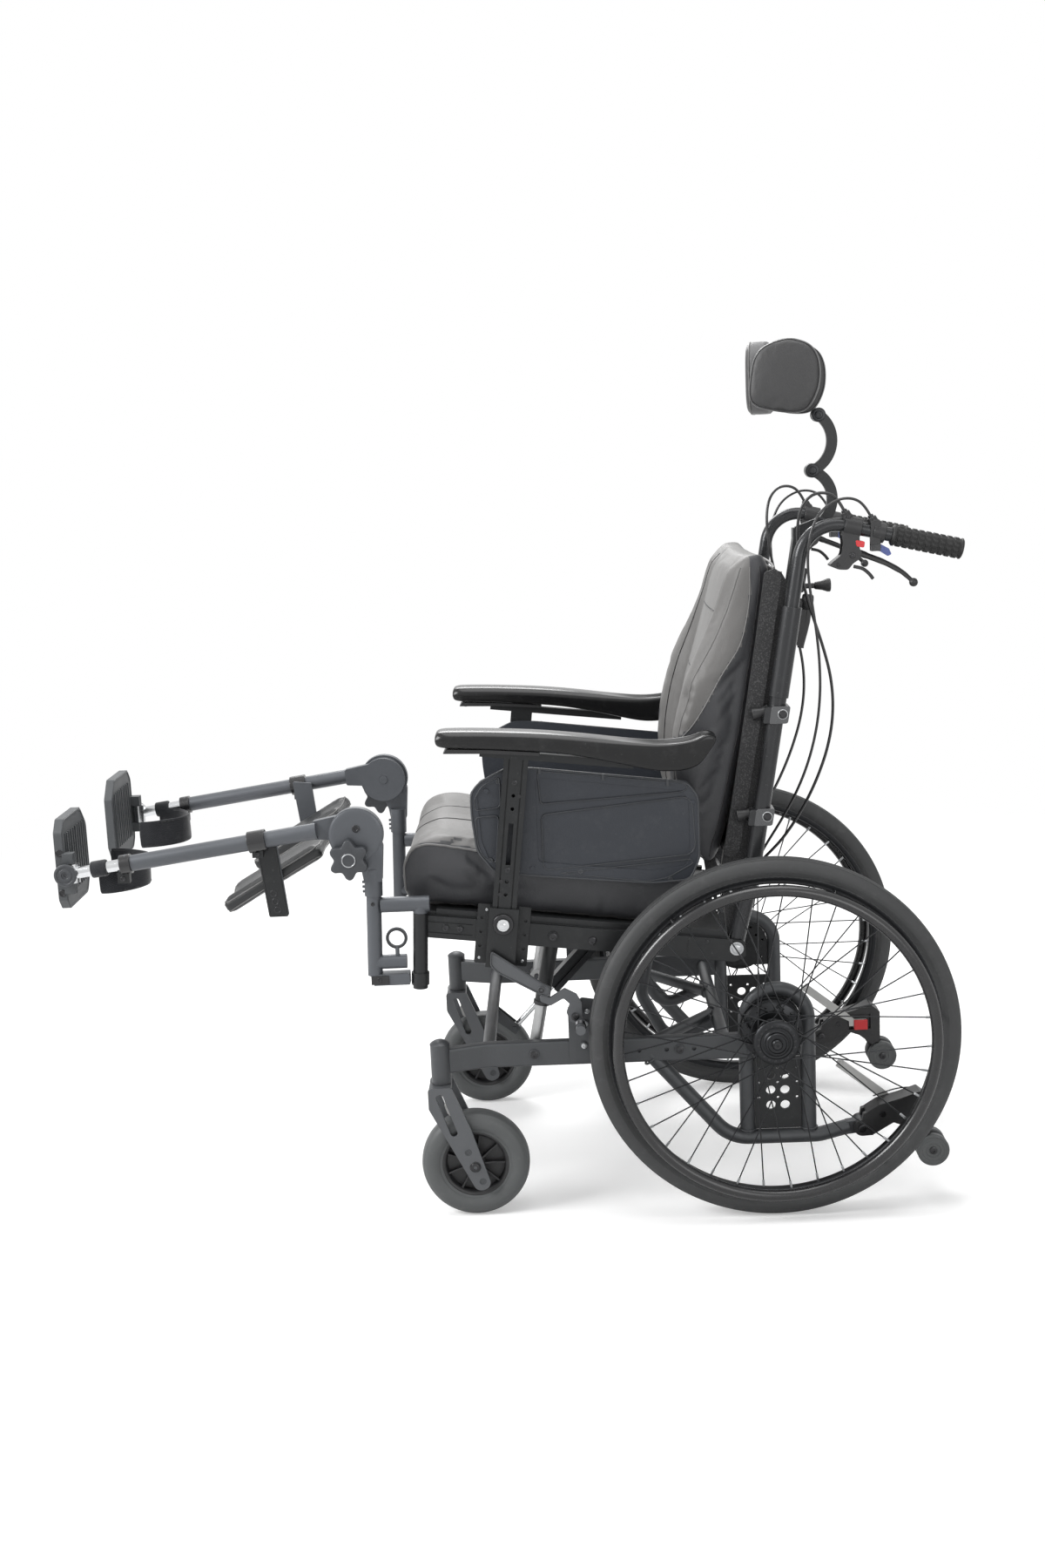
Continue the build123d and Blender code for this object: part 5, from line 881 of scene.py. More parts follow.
class WHEELCHAIR_OT_casters(Task, bpy.types.Operator):
    """Turn the caster tyres and ribbed rims and fit the forks' hardware"""
    bl_idname, bl_label = "wheelchair.casters", "Casters and anti-tippers"

    def make(self, scene):
        axle = (0, *CASTER_AXLE)
        half = [(0, 91), (6, 90.8), (11, 89.6), (14.5, 87.8), (15.4, 86.4), (18.2, 84.2),
                (20.4, 80.6), (21.6, 76), (21.9, 71.4), (21.2, 66.4), (19.4, 63.2),
                (18.8, 61.6), (17.4, 60.2), (16.8, 57.6), (15.6, 55.4)]
        Form().turned(tyre(half, CASTER_X), axle, sides=128, loop=True).pair(
            "caster_tyre", "caster", "caster", "caster_wheel", sharp=25)
        rim = Form()
        rim.turned([(CASTER_X + x, r) for x, r in (
            (-16, 56.5), (-16.6, 54.6), (-15.4, 51.6), (-13, 49.4), (-6, 48.4), (6, 48.4),
            (13, 49.4), (15.4, 51.6), (16.6, 54.6), (16, 56.5))], axle, sides=96, loop=True)
        rim.turned([(CASTER_X - 2.5, 8), (CASTER_X - 2.5, 49), (CASTER_X + 2.5, 49),
                    (CASTER_X + 2.5, 8)], axle, sides=64, loop=True)
        rim.turned([(CASTER_X - 21.5, 6.1), (CASTER_X - 21.5, 12.6),
                    (CASTER_X - 19, 14.8), (CASTER_X - 6, 17), (CASTER_X + 6, 17),
                    (CASTER_X + 19, 14.8), (CASTER_X + 21.5, 12.6),
                    (CASTER_X + 21.5, 6.1)], axle, sides=48, loop=True)
        for c, s in circle(9):
            out, wide = Vector((0, c, s)), Vector((0, -s, c))
            at = Vector(axle) + Vector((CASTER_X, 0, 0))
            rings = []
            for r, deep, thick in ((13, 15, 1.7), (30, 10.5, 1.5), (49.5, 12.5, 1.6)):
                rings.append([at + out * r + Vector((x, 0, 0)) + wide * w
                              for x, w in ((-deep, -thick), (deep, -thick), (deep, thick),
                                           (-deep, thick))])
            rim.rings(rings)
        rim.pair("caster_rim", "plastic", "caster", bevel=0.5)

        fork = Form()
        for x, way in ((CASTER_X + 29.5, 1), (CASTER_X - 29.5, -1)):
            fork.turned([(-0.2, 9.5), (0.8, 9.5), (1.0, 8), (3.4, 7.4), (4.2, 6),
                         (4.2, 3.4, 6), (2.2, 3.3, 6)], (x, *CASTER_AXLE), (way, 0, 0), 24)
            for step in (-1, 1):
                fork.turned([(-0.3, 6.2), (0.25, 6.2), (0.3, 4.1), (-2.5, 4.1)],
                            (x, CASTER_AXLE[0] - step * 11, CASTER_AXLE[1] + step * 26),
                            (way, 0, 0), 24, tint=1)
        fork.turned([(0, 13.5), (0.6, 14.4), (1.2, 14.4), (1.6, 13.0)],
                    (CASTER_X, -128, 230.9), (0, 0, 1), 32)
        fork.slab(rounded([(-126, 196), (-112, 192), (-106, 172), (-120, 176)], 4),
                  CASTER_X - 7, CASTER_X + 7, tint=2)
        fork.pair("fork_hardware", ["screw", "frame", "pale"], "fork", bevel=0.3)

        tips = Form()
        for way in (1, -1):
            face = TIP_X + way * 21.2
            tips.turned([(0, 27.2), (0.4, 26), (0.9, 23.6), (0.2, 22.8), (0.2, 18.4),
                         (0.9, 17.6), (0.9, 12.6), (0.1, 11.8), (0.1, 8.2)],
                        (face, *TIP_AXLE), (way, 0, 0), 48)
            tips.screw((face, *TIP_AXLE), (way, 0, 0), 6.4, 2.6, tint=1)
        tips.pair("anti_tip_hubs", ["caster", "screw"], "anti_tip_roller")

        arms = Form()
        for way in (1, -1):
            face = TIP_X + way * 20.0
            arms.screw((face, 576, 120), (way, 0, 0), 7, 2.2)
            arms.turned([(-0.4, 5.4), (0.8, 5), (0.9, 3.2), (0.2, 3.0)],
                        (TIP_X + way * 18, 610, 143), (way, 0, 0), 20)
        arms.swept(flowing([(222.2, 600, 163), (220.6, 640, 174), (221.6, 676, 176)]),
                   1.2, 8, tint=1)
        arms.pair("anti_tip_hardware", ["screw", "plastic"], "anti_tip")
        catch = Form().block((226.2, 229.6), (641.5, 662.5), (135.5, 150.5))
        catch.block((213.9, 217.0), (639, 665), (133, 153))
        catch.pair("release_catch", "red", "anti_tip_pull", bevel=0.8)


class WHEELCHAIR_OT_fasteners(Task, bpy.types.Operator):
    """Set the visible screws, washers, caps and weld beads"""
    bl_idname, bl_label = "wheelchair.fasteners", "Fasteners and welds"

    def make(self, scene):
        base = Form()
        for y, z in ((29, 269), (273, 269)):
            base.screw((254.6, y, z), OUT, 6.6, 2.6)
        for y, z in ((116, 322), (113, 284)):
            base.screw((259.8, y, z), OUT, 4.8, 2.4, tint=1)
        base.screw((288.2, 100, 344), OUT, 6.4, 2.4)
        base.screw((259.8, 120, 344), OUT, 4.2, 2.0, tint=1)
        for z in (285, 356):
            base.screw((241, 410, z), OUT, 5.4, 4, sunk=False, tint=1)
        for y in (29, 350):
            base.turned([(0, 5), (1.4, 4.6)], (231.9, y, 269), (-1, 0, 0), 20)
        for at, along, radius in (
                ((232, -49, 269), OUT, 11), ((232, 350, 269), OUT, 11),
                ((240, 226, 250), (0, 0.6, -0.8), 12.5), ((238, 385, 119), (0, 0, 1), 12.5),
                ((238, 489, 119), (0, 0, 1), 12.5), ((100, 350, 269), (0, -0.9, -0.3), 10.5),
                ((55, 350, 269), (0.7, -0.55, 0), 10)):
            axis, across, up = axes(along)
            centre = Vector(at) + axis * (11.5 if radius < 12 else 0)
            line = [centre + (across * c + up * s) * (radius + 0.3) for c, s in circle(40)]
            base.swept(line, [1.9 + 0.35 * (k % 2) for k in range(40)], 8, True, tint=2)
        base.both().build("base_fasteners", ["screw", "steel", "frame"], "base")

        seat = Form()
        seat.screw((253, *SEAT_MIDDLE), OUT, 6.6, 2.6)
        for u in (-179, -155):
            seat.screw((251.9, *seat_point(u, 0)), OUT, 4.8, 2.2)
        seat.screw((250.4, *seat_point(66, -2)), OUT, 6.8, 3.0)
        seat.turned([(-0.2, 4.6), (0.3, 4.4), (0.32, 3.4), (0.1, 3.2)],
                    (250, *seat_point(168, -4)), OUT, 20)
        seat.screw((254, 372, 440), OUT, 8.5, 5, sunk=False, tint=1)
        for u in (-120, -48):
            seat.turned([(-3, 2.5), (0.5, 2.5), (0.9, 1.6)],
                        (253.6, *seat_point(u, -45)), OUT, 16, tint=1)
        seat.screw((253.6, *seat_point(-113, 38)), OUT, 2.6, 1.4, tint=1)
        for u in (120, 190, 255):
            seat.screw((250.2, *seat_point(u, 12)), OUT, 3.2, 1.6)
        seat.screw((118.8, 240, 430), OUT, 8.6, 4, sunk=False)
        seat.screw((83.8, 240, 430), (-1, 0, 0), 8.6, 4, sunk=False)
        seat.turned([(281, 12.2), (281, 16.4), (280, 17.3), (276.4, 17.3), (276.4, 12.2)],
                    (0, *seat_point(-84, 21)), sides=48, loop=True)
        seat.both().build("seat_fasteners", ["screw", "steel"], "seat", bevel=0.2)

        cap = Form().turned([(0, 9.9), (0.5, 9.6), (0.8, 8.6), (0.5, 7.6), (0.5, 3.2),
                             (0.8, 2.8), (0.8, 0.05)], (284.2, *seat_point(-84, 21)),
                            sides=40)
        cap.pair("button_cap", "chrome", "button")

        lock = Form()
        lock.screw((288.2, 46, 392), OUT, 5.0, 2.4)
        edge = rounded([(-33, 460), (-35, 437), (-25, 425), (49, 382), (59, 381),
                        (61, 395), (50, 401)], 5)
        lock.swept([(287.0, *point) for point in edge], 1.5, 8, True, tint=1)
        lock.turned([(k, 9.4 if k % 2 else 8.5) for k in range(13)], (300, 108, 333),
                    OUT, 28)
        lock.pair("lock_hardware", ["screw", "frame"], "lock")

        struts = Form()
        low = between(SEAT_MIDDLE, STRUT_FOOT, 126 / hypot(
            SEAT_MIDDLE[0] - STRUT_FOOT[0], SEAT_MIDDLE[1] - STRUT_FOOT[1]))
        struts.turned([(-2.5, 12.2), (-2.2, 14.2), (4, 14.2), (5, 12.8)],
                      (216, *low), heading(STRUT_FOOT, SEAT_MIDDLE), 32)
        struts.both().build("strut_collars", "plastic", "strut_sleeves")

        posts = Form()
        for v in (70, 92, 236):
            posts.turned([(-0.2, 3.6), (0.5, 3.4), (0.6, 2.0), (0.1, 1.9)],
                         (272, *seat_point(-93 if v < 100 else -75, v)), OUT, 18)
        for v in (112, 258):
            posts.screw((272, *seat_point(-84, v)), OUT, 4.4, 1.6)
        posts.pair("post_screws", "screw", "armrest")


class WHEELCHAIR_OT_handles(Task, bpy.types.Operator):
    """Fit the push grips, brake levers, clamps and the back's brackets"""
    bl_idname, bl_label = "wheelchair.handles", "Handles and back hardware"

    def make(self, scene):
        start, end = HANDLE
        along = heading(start, end)
        low = Vector((CANE_X, *end)) - along * 112
        profile = [(-3, 11.4), (-2.6, 14), (0, 17), (3, 17), (4, 15.4)]
        rows = []
        for row in range(9):
            begin = 6 + row * 11.4
            rows += [len(profile) + 1, len(profile) + 2]
            profile += [(begin, 15.2), (begin + 0.8, 16.9), (begin + 7.6, 16.9),
                        (begin + 8.6, 15.2)]
        profile += [(109, 15.6), (110, 16.9), (112, 16.6), (113.4, 14.6), (113.6, 0.05)]
        Form().turned(profile, low, along, 48, knurl=(rows, 1.3, 2)).both().build(
            "push_grips_rubber", "grip", "back", stands_for="push_grips", sharp=25)

        y, z = between(start, end, 0.30)
        pivot = (y - 2, z - 44)
        lever = Form()
        lever.swept(flowing([(CANE_X, pivot[0] + a, pivot[1] + b) for a, b in (
            (-4, 0), (10, 3), (26, -3), (54, -15), (78, -29), (90, -39), (99, -48))], 5),
            [6.5] * 5 + [6.2] * 5 + [5.4] * 5 + [5.0] * 5 + [4.4] * 5 + [4.0] * 5 + [4.0],
            14, flat=0.72)
        lever.turned([(-7.2, 0.1), (-6.6, 2.8), (-5, 5), (-2.6, 6.6), (0, 7.1), (2.6, 6.6),
                      (5, 5), (6.6, 2.8), (7.2, 0.1)],
                     (CANE_X, pivot[0] + 99, pivot[1] - 48), (0, 0.7, -0.7), 24)
        lever.turned([(-4.6, 8.2), (4.6, 8.2)], (CANE_X, *pivot), sides=24, tint=1)
        lever.pair("brake_lever_blade", ["plastic", "screw"], "brake", "brake_lever",
                   bevel=0.4)

        back = Form()
        for share, width, half in ((0.30, 17.2, 13), (0.47, 16.6, 9)):
            y, z = between(start, end, share)
            place = Vector((CANE_X, y, z))
            back.turned([(-half - 1, width - 2.4), (-half, width - 0.6), (half, width - 0.6),
                         (half + 1, width - 2.4)], place, along, 36)
            stem = Vector((CANE_X, y - 13, z + 27))
            up = (stem - place).normalized()
            back.turned([(12, 9.6), (18, 9.4), (20, 8.2), (26.5, 7.6), (27.5, 6.4)],
                        place, up, 24)
            back.turned([(27, 4.6), (31, 4.4), (31.6, 3.4)], place, up, 18, tint=1)
            back.screw(place + Vector((9.0, 0, 0)) + up * 19, OUT, 4.2, 2.6, tint=1)
        y, z = between(start, end, 0.47)
        back.slab(rounded([(y - 14, z + 20), (y + 2, z + 19), (y, z - 19), (y - 16, z - 18)],
                          4), CANE_X + 11, CANE_X + 13)
        y, z = between(start, end, 0.30)
        housing = rounded([(y - 20, z - 4), (y + 6, z - 6), (y + 10, z - 14), (y + 9, z - 33),
                           (y + 14, z - 41), (y + 9, z - 51), (y - 1, z - 57),
                           (y - 9, z - 67), (y - 24, z - 66), (y - 40, z - 59),
                           (y - 33, z - 53), (y - 20, z - 43), (y - 17, z - 26)], 4)
        for way in (-1, 1):
            back.slab(housing, CANE_X + way * 11, CANE_X + way * 12.8)
        back.slab(rounded([(y - 40, z - 59), (y - 33, z - 53), (y - 20, z - 43),
                           (y - 12, z - 43), (y - 9, z - 60), (y - 9, z - 67),
                           (y - 24, z - 66)], 4), CANE_X - 11.5, CANE_X + 11.5)
        back.screw((CANE_X + 12.8, y - 2, z - 44), OUT, 4.6, 1.8, tint=1)
        back.screw((CANE_X + 12.8, y - 25, z - 58), OUT, 3.0, 1.4, tint=1)
        back.slab(rounded([(y + 3, z - 20), (y + 18, z - 23), (y + 16.5, z - 33),
                           (y + 4, z - 30)], 3), CANE_X - 13.4, CANE_X + 13.4, tint=2)
        back.swept(flowing([(CANE_X + 9, y, z - 62), (CANE_X + 9, y + 14, z - 66),
                            (CANE_X + 9, y + 24, z - 74), (CANE_X + 9, y + 31, z - 83)]),
                   3.2, 10, flat=0.8)
        slope = 0.168
        for y, z in ((418.6, 659), (446.9, 827)):
            band = rounded([(y + dy + dz * slope, z + dz) for dy, dz in (
                (-11, -14.2), (19.4, -14.2), (19.4, 14.2), (-11, 14.2))], 4)
            back.slab(band, CANE_X - 17.7, CANE_X + 17.7, tint=3)
            back.turned([(-0.5, 11), (3.0, 10.6), (16, 8.2), (26, 11.6)],
                        (CANE_X - 4, y - 38, z), (0, 1, 0.16), 28)
            back.screw((CANE_X + 17.6, y + 9, z + 1), OUT, 5.4, 4.5, sunk=False,
                       tint=1)
            back.turned([(-0.4, 8.4), (0.4, 8.4), (0.5, 7.6)], (CANE_X + 17.6, y + 9, z + 1),
                        sides=28, tint=4)
        back.both()
        back.turned([(-8, 4.6), (24, 4.6), (26, 6.4), (38, 8.2), (47, 11.4), (51, 11.6),
                     (52.4, 10.2)], (0, 520, 1013), (0, 1, 0), 32)
        back.slab(rounded([(505.5, 1003), (524, 1003), (532, 1044), (513, 1045)], 3),
                  -14, 14)
        back.build("back_hardware", ["plastic", "screw", "red", "band", "steel"], "back",
                   bevel=0.5)

        clamp = Form()
        clamp.swept(flowing([(0, 530, 988), (0, 533, 974), (0, 529, 944), (0, 521, 915),
                             (0, 519, 906)]), [7] * 12 + [6.4] * 12 + [6.8], 14, flat=0.8)
        clamp.turned([(-9, 12.5), (-7, 14), (7, 14), (9, 12.5)], (0, 532, 985),
                     (0, 0.987, -0.16), 32)
        clamp.build("clamp_lever", "plastic", "headrest_clamp")

        for centre, body in (((556, 1119), "headrest_lower_arm"),
                             ((543, 1210), "headrest_upper_arm"),
                             ((555, 1303), "headrest_pad")):
            hardware = Form()
            for way in (1, -1):
                hardware.turned([(-0.4, 11.6), (0.5, 11.6), (0.9, 10.8), (0.9, 7.2),
                                 (2.6, 6.8), (3.2, 5.6), (3.2, 3.2, 6), (1.4, 3.1, 6)],
                                (way * 11.2, *centre), (way, 0, 0), 36)
            hardware.build(f"{body}_joint", "black_metal", body)


class WHEELCHAIR_OT_armrests(Task, bpy.types.Operator):
    """Mould the armrest pads and trim the side panels"""
    bl_idname, bl_label = "wheelchair.armrests", "Armrests and side panels"

    TOP = [(-108, 819), (-106, 827), (-100, 831), (-60, 830.5), (-8, 827.5), (60, 822.5),
           (97, 818.5), (170, 808), (245, 797), (290, 796.5), (312, 801), (330, 810.5),
           (346, 803)]
    LOW = [(-108, 813), (-106, 806), (-100, 802.5), (-20, 797), (60, 790), (120, 782),
           (200, 762), (253, 748), (290, 749), (306, 752), (320, 760), (332, 778),
           (346, 798)]

    def make(self, scene):
        stations = (-108, -106, -102, -94, -80, -40, 10, 60, 110, 160, 205, 245, 275, 300,
                    316, 328, 338, 345)
        rings = []
        for y in stations:
            top, low = graph(self.TOP, y), graph(self.LOW, y)
            wide = 31 - 7 * max(0.0, (-88 - y) / 20) ** 2 - 5 * max(0.0, (y - 300) / 45) ** 2
            dish = 0.8 + 10 * max(0.0, min(1.0, (y - 150) / 110)) ** 1.5
            dish = min(dish, max(0.2, (top - low) * 0.35))
            edge = min(4.5, (top - low) * 0.3)
            deep = min(10.0, (top - low) * 0.45)
            crown = max(0.0, min(1.0, (300 - y) / 150)) * min(1.0, (top - low) / 24)
            half = [(0, top - dish), (wide * 0.4, top - dish * 0.85 - 0.4 * crown),
                    (wide * 0.64, top - dish * 0.45 - 1.6 * crown),
                    (wide * 0.8, top - 0.3 - 3.6 * crown),
                    (wide * 0.93, top - edge * 0.35 - 6.4 * crown),
                    (wide, top - edge - 7.6 * crown),
                    (wide, top - deep - 6.4 * crown), (wide - 0.6, (top + low) / 2 - 4),
                    (wide - 1.2, low + edge), (wide - 3.5, low + 0.6), (wide * 0.5, low),
                    (0, low)]
            rings.append([(PAD_X + x, y, z) for x, z in whole(half)])
        pad = Form().rings(rings)
        for piece in pad.pair("armrest_pad_skin", "arm", "armrest", "armrest_pad",
                              levels=2, sharp=180):
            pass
        under = Form()
        under.slab(rounded([(-96, 793), (-90, 800), (-20, 796.5), (60, 789), (60, 783),
                            (-20, 790)], 2), PAD_X - 22, PAD_X + 22)
        for y, z in ((-84, 791), (-50, 790)):
            under.turned([(-2, 4.4), (1.4, 4.0), (1.6, 2.4)], (PAD_X, y, z), (0, 0, -1), 20,
                         tint=1)
        under.pair("armrest_underside", ["plastic", "screw"], "armrest", bevel=0.6)

        # The side panel's beads, bosses and blocks are drawn in the paler knob plastic: a
        # painted highlight along the raised trim.
        trim = Form()
        face = 252.0
        outlines = (
            ([(-22, 586), (28, 579), (237, 557), (299, 561), (315, 596), (315, 700),
              (297, 724), (46, 757), (4, 759), (-40, 738), (-56, 720), (-56, 680),
              (-50, 622)], 12, 1.7),
            ([(58, 679), (294, 700), (305, 690), (309, 615), (300, 603), (64, 586),
              (58, 592)], 10, 1.1),
            ([(54, 752), (58, 697), (288, 708), (299, 713), (294, 722)], 6, 1.1),
            ([(84, 580), (300, 595), (305, 588), (261, 565), (228, 560)], 6, 1.0),
            ([(-8, 746), (-37, 731), (-50, 711), (-50, 690), (-12, 694), (-8, 699)], 7, 1.1),
            ([(-50, 679), (-15, 681), (-12, 675), (-20, 600), (-40, 612), (-48, 632)], 7,
             1.1))
        for outline, bend, radius in outlines:
            trim.swept([(face + 0.1, *point) for point in rounded(outline, bend)], radius,
                       8, True)
        for y, z in ((-10, 737), (-28, 606), (119, 581), (266, 562)):
            trim.turned([(-0.4, 4.2), (0.6, 3.9), (0.8, 2.4), (0.2, 2.2)], (face, y, z),
                        sides=20)
        for y, z in ((58, 752), (161, 738), (266, 724)):
            trim.block((face - 1, face + 2.6), (y - 2, y + 2), (z - 5, z + 5))
        trim.pair("panel_trim", "knob", "armrest", bevel=0.3)


class WHEELCHAIR_OT_seat(Task, bpy.types.Operator):
    """Upholster the seat cushion with its troughs, piping and side creases"""
    bl_idname, bl_label = "wheelchair.seat", "Seat cushion"

    TOP = [(-264, 92), (-261, 108), (-252, 124), (-236, 134), (-210, 137.5), (-150, 136),
           (-90, 132), (0, 122), (60, 115), (200, 112), (216, 106), (223, 84)]
    LOW = [(-264, 84), (-262, 62), (-256, 38), (-248, 29), (-236, 27), (208, 27),
           (218, 34), (223, 56)]

    def make(self, scene):
        rings = []
        stations = [-264, -262, -258, -252, -244, -234, -220]
        stations += [-200 + 22 * k for k in range(19)] + [208, 216, 221, 223]
        for u in stations:
            top, low = graph(self.TOP, u), graph(self.LOW, u)
            wide = 219 - 3.5 * (1 - ((u + 20) / 245) ** 2)
            wide -= 5 * max(0.0, (-250 - u) / 14) ** 2
            high = top - low
            right = []
            for share in (0, 0.12, 0.24, 0.36, 0.48, 0.6, 0.72, 0.82, 0.9, 0.955):
                x = wide * share
                trough = 11 * (0.5 + 0.5 * cos(pi * min(1.0, abs(x - 108) / 92)))
                crown = 5 * cos(pi * share / 2)
                fade = min(1.0, high / 80)
                right.append((x, top - (trough - crown) * fade * (0.35 + 0.65 * min(
                    1.0, max(0.0, (u + 262) / 60)))))
            right += [(wide * 0.985, top - 3 * fade), (wide, top - 9 * fade),
                      (wide + 1.6, low + high * 0.68), (wide + 2.2, low + high * 0.45),
                      (wide + 1.0, low + high * 0.2), (wide - 2, low + 2 * fade),
                      (wide - 7, low), (wide * 0.6, low), (wide * 0.25, low), (0, low)]
            rings.append(whole([(x, *seat_point(u, v)) for x, v in right]))
        seat = Form().rings(rings).build("seat_cushion_cover", ["leather_lit", "leather_shaded_side"],
                                         "seat", stands_for="seat_cushion")
        shaped(seat, 6, 4.0, 7)

        def creases(point):
            """Radiating tucks low on the sides near the rear."""
            x, y, z = point
            if abs(x) < 200:
                return (0, 0, 0)
            depth = 0
            for cy, cz, dy, dz, reach in ((225, 478, 0.35, 0.94, 48), (222, 476, 0.85, 0.52, 52),
                                          (218, 478, -0.5, 0.86, 40), (150, 492, 0.2, 0.98, 44)):
                along = (y - cy) * dy + (z - cz) * dz
                off = (y - cy) * dz - (z - cz) * dy
                if 0 < along < reach:
                    depth += 2.6 * (1 - along / reach) * max(0.0, 1 - (off / 7) ** 2)
            return (-depth if x > 0 else depth, 0, 0)
        sculpt(seat, creases)
        # Faces turned sideways take the darker leatherette copy: painted shade on the seat
        # cushion's sides.
        tint_by(seat, lambda centre, normal: int(abs(normal.x) > 0.62))
        # The piping along each side's top edge is in the pale piping finish: a painted highlight
        # along that edge.
        edge = scene.chair_sizes.piping / MM
        for word, side in SIDES:
            line = [(side * 219, *seat_point(u, v)) for u, v in (
                (-262, 44), (-266, 84), (-263, 106), (-252, 124), (-236, 133),
                (-205, 136), (-150, 134), (-90, 130), (0, 120), (60, 114), (140, 112),
                (205, 110))]
            seam(seat, f"seat_piping_{word}", line, "piping", "seat", edge, 0.4)
        seam(seat, "seat_front_seam", [(x, *seat_point(-264, 70)) for x in
                                       (-215, -150, -75, 0, 75, 150, 215)], "thread",
             "seat", scene.chair_sizes.seam / MM, 0.1)
        for x in (-52, 52):
            seam(seat, f"seat_channel_{'left' if x > 0 else 'right'}",
                 [(x, *seat_point(u, graph(self.TOP, u))) for u in
                  (-256, -236, -180, -90, 0, 90, 200)], "thread", "seat",
                 scene.chair_sizes.seam / MM, 0.1)


class WHEELCHAIR_OT_back(Task, bpy.types.Operator):
    """Upholster the back cushion with its side bolsters and seams"""
    bl_idname, bl_label = "wheelchair.back", "Back cushion"

    REAR = [(572, 346), (604, 351), (640, 364), (800, 403), (950, 428), (1046, 442),
            (1084, 440)]
    MIDDLE = [(572, 322), (640, 306), (740, 309), (840, 329), (960, 365), (1040, 387),
              (1084, 404)]
    BOLSTER = [(572, 322), (590, 309), (620, 292), (660, 280), (740, 278), (790, 284),
               (832, 293), (880, 308), (930, 333), (1000, 365), (1056, 384), (1084, 397)]
    SEAM = [(572, 250), (776, 262), (803, 306), (828, 325),
            (889, 360), (938, 394), (987, 408), (1026, 412), (1084, 411)]

    def make(self, scene):
        rings, rise = [], 0.034
        for z in (574, 576, 581, 590, 604, 622, 645, 670, 700, 730, 760, 790, 820, 850, 880,
                  910, 940, 970, 1000, 1030, 1052, 1066, 1077, 1083, 1086):
            rear, middle, out = [graph(line, z) for line in (self.REAR, self.MIDDLE,
                                                             self.BOLSTER)]
            ends = max(0.0, (584 - z) / 12, (z - 1066) / 20)
            middle += 6 * ends ** 2
            out += 9 * ends ** 2
            rear -= 5 * ends ** 2
            wide = 208 - 4 * ends ** 2
            right = [(0, rear), (90, rear), (170, rear), (wide - 8, rear - 1),
                     (wide, rear - 8), (wide + 1.5, rear - (rear - out) * 0.35),
                     (wide + 1.5, rear - (rear - out) * 0.7), (wide - 0.5, out + 13),
                     (wide - 5, out + 5), (wide - 14, out + 0.5), (182, out),
                     (164, out + 1.5), (150, out + 6), (141, out * 0.6 + middle * 0.4),
                     (136, out * 0.15 + middle * 0.85 - 1), (126, middle + 1),
                     (100, middle - 2), (60, middle - 5), (25, middle - 6)]
            ring = [(x, y, z + (rear - y) * rise) for x, y in right]
            rings.append(whole(ring + [(0, middle - 6.5, z + (rear - middle) * rise)]))
        back = Form().rings(rings).build("back_cushion_cover", ["leather_lit", "leather_shaded_side"],
                                         "back", stands_for="back_cushion")
        shaped(back, 6, 4.0, 7)
        # Faces behind the wing seam, and the bolsters low down, take the darker leatherette
        # copy: painted shade on the back cushion's sides and lower bolsters.
        tint_by(back, lambda centre, normal: int(
            abs(centre.x) > 192 and centre.y > graph(self.SEAM, centre.z)
            or abs(centre.x) > 170 and centre.z < 786))
        thin = scene.chair_sizes.seam / MM
        for name, x, line, shift, finish, radius in (
                ("bolster_piping", 204, self.BOLSTER, 5, "piping", thin * 1.2),
                ("wing_seam", 213, self.SEAM, 0, "piping", thin * 1.1),
                ("rear_seam", 212, self.REAR, -9, "thread", thin),
                ("inner_seam", 146, self.BOLSTER, 8, "thread", thin)):
            for word, side in SIDES:
                route = [(side * x, graph(line, z) + shift, z) for z in
                         (582, 600, 640, 700, 760, 803, 840, 889, 938, 987, 1026, 1066)]
                seam(back, f"{name}_{word}", route, finish, "back", radius, 0.15)

        tail = Form()
        edge = rounded([(362, 604), (354, 581), (357, 487), (361, 452), (368, 438),
                        (380, 437), (389, 452), (396, 480), (401, 515), (392, 574),
                        (400, 610), (409, 655), (436, 791), (449, 870), (462, 960),
                        (470, 1040), (460, 1058), (444, 1055), (426, 950), (401, 800),
                        (382, 690)], 6)
        tail.slab(edge, 206, 217.5)
        front = [(215.6, y, z) for y, z in ((462, 1056), (439, 998), (423, 915), (408, 826),
                                            (383, 713), (367, 633), (355, 585), (356, 530),
                                            (358, 487), (362, 455))]
        # The shell's front edge and top brim take the pale piping finish: a painted highlight
        # along those edges.
        tail.swept(flowing(front), 1.5, 8, tint=1)
        tail.both()
        brim = [(x, 455 - 12 * (x / 218) ** 2 + 6, 1062) for x in range(-216, 217, 24)]
        tail.swept(flowing(brim, 3), 2.2, 8, tint=1)
        tail.build("shell_tail", ["shell", "piping"], "back", bevel=1.2)
        for z in (760, 880, 985):
            seam(back, f"back_channel_{z}", [(x, graph(self.MIDDLE, z) - 8, z) for x in
                                             (-108, -72, -36, 0, 36, 72, 108)],
                 "thread", "back", thin, 0.1)


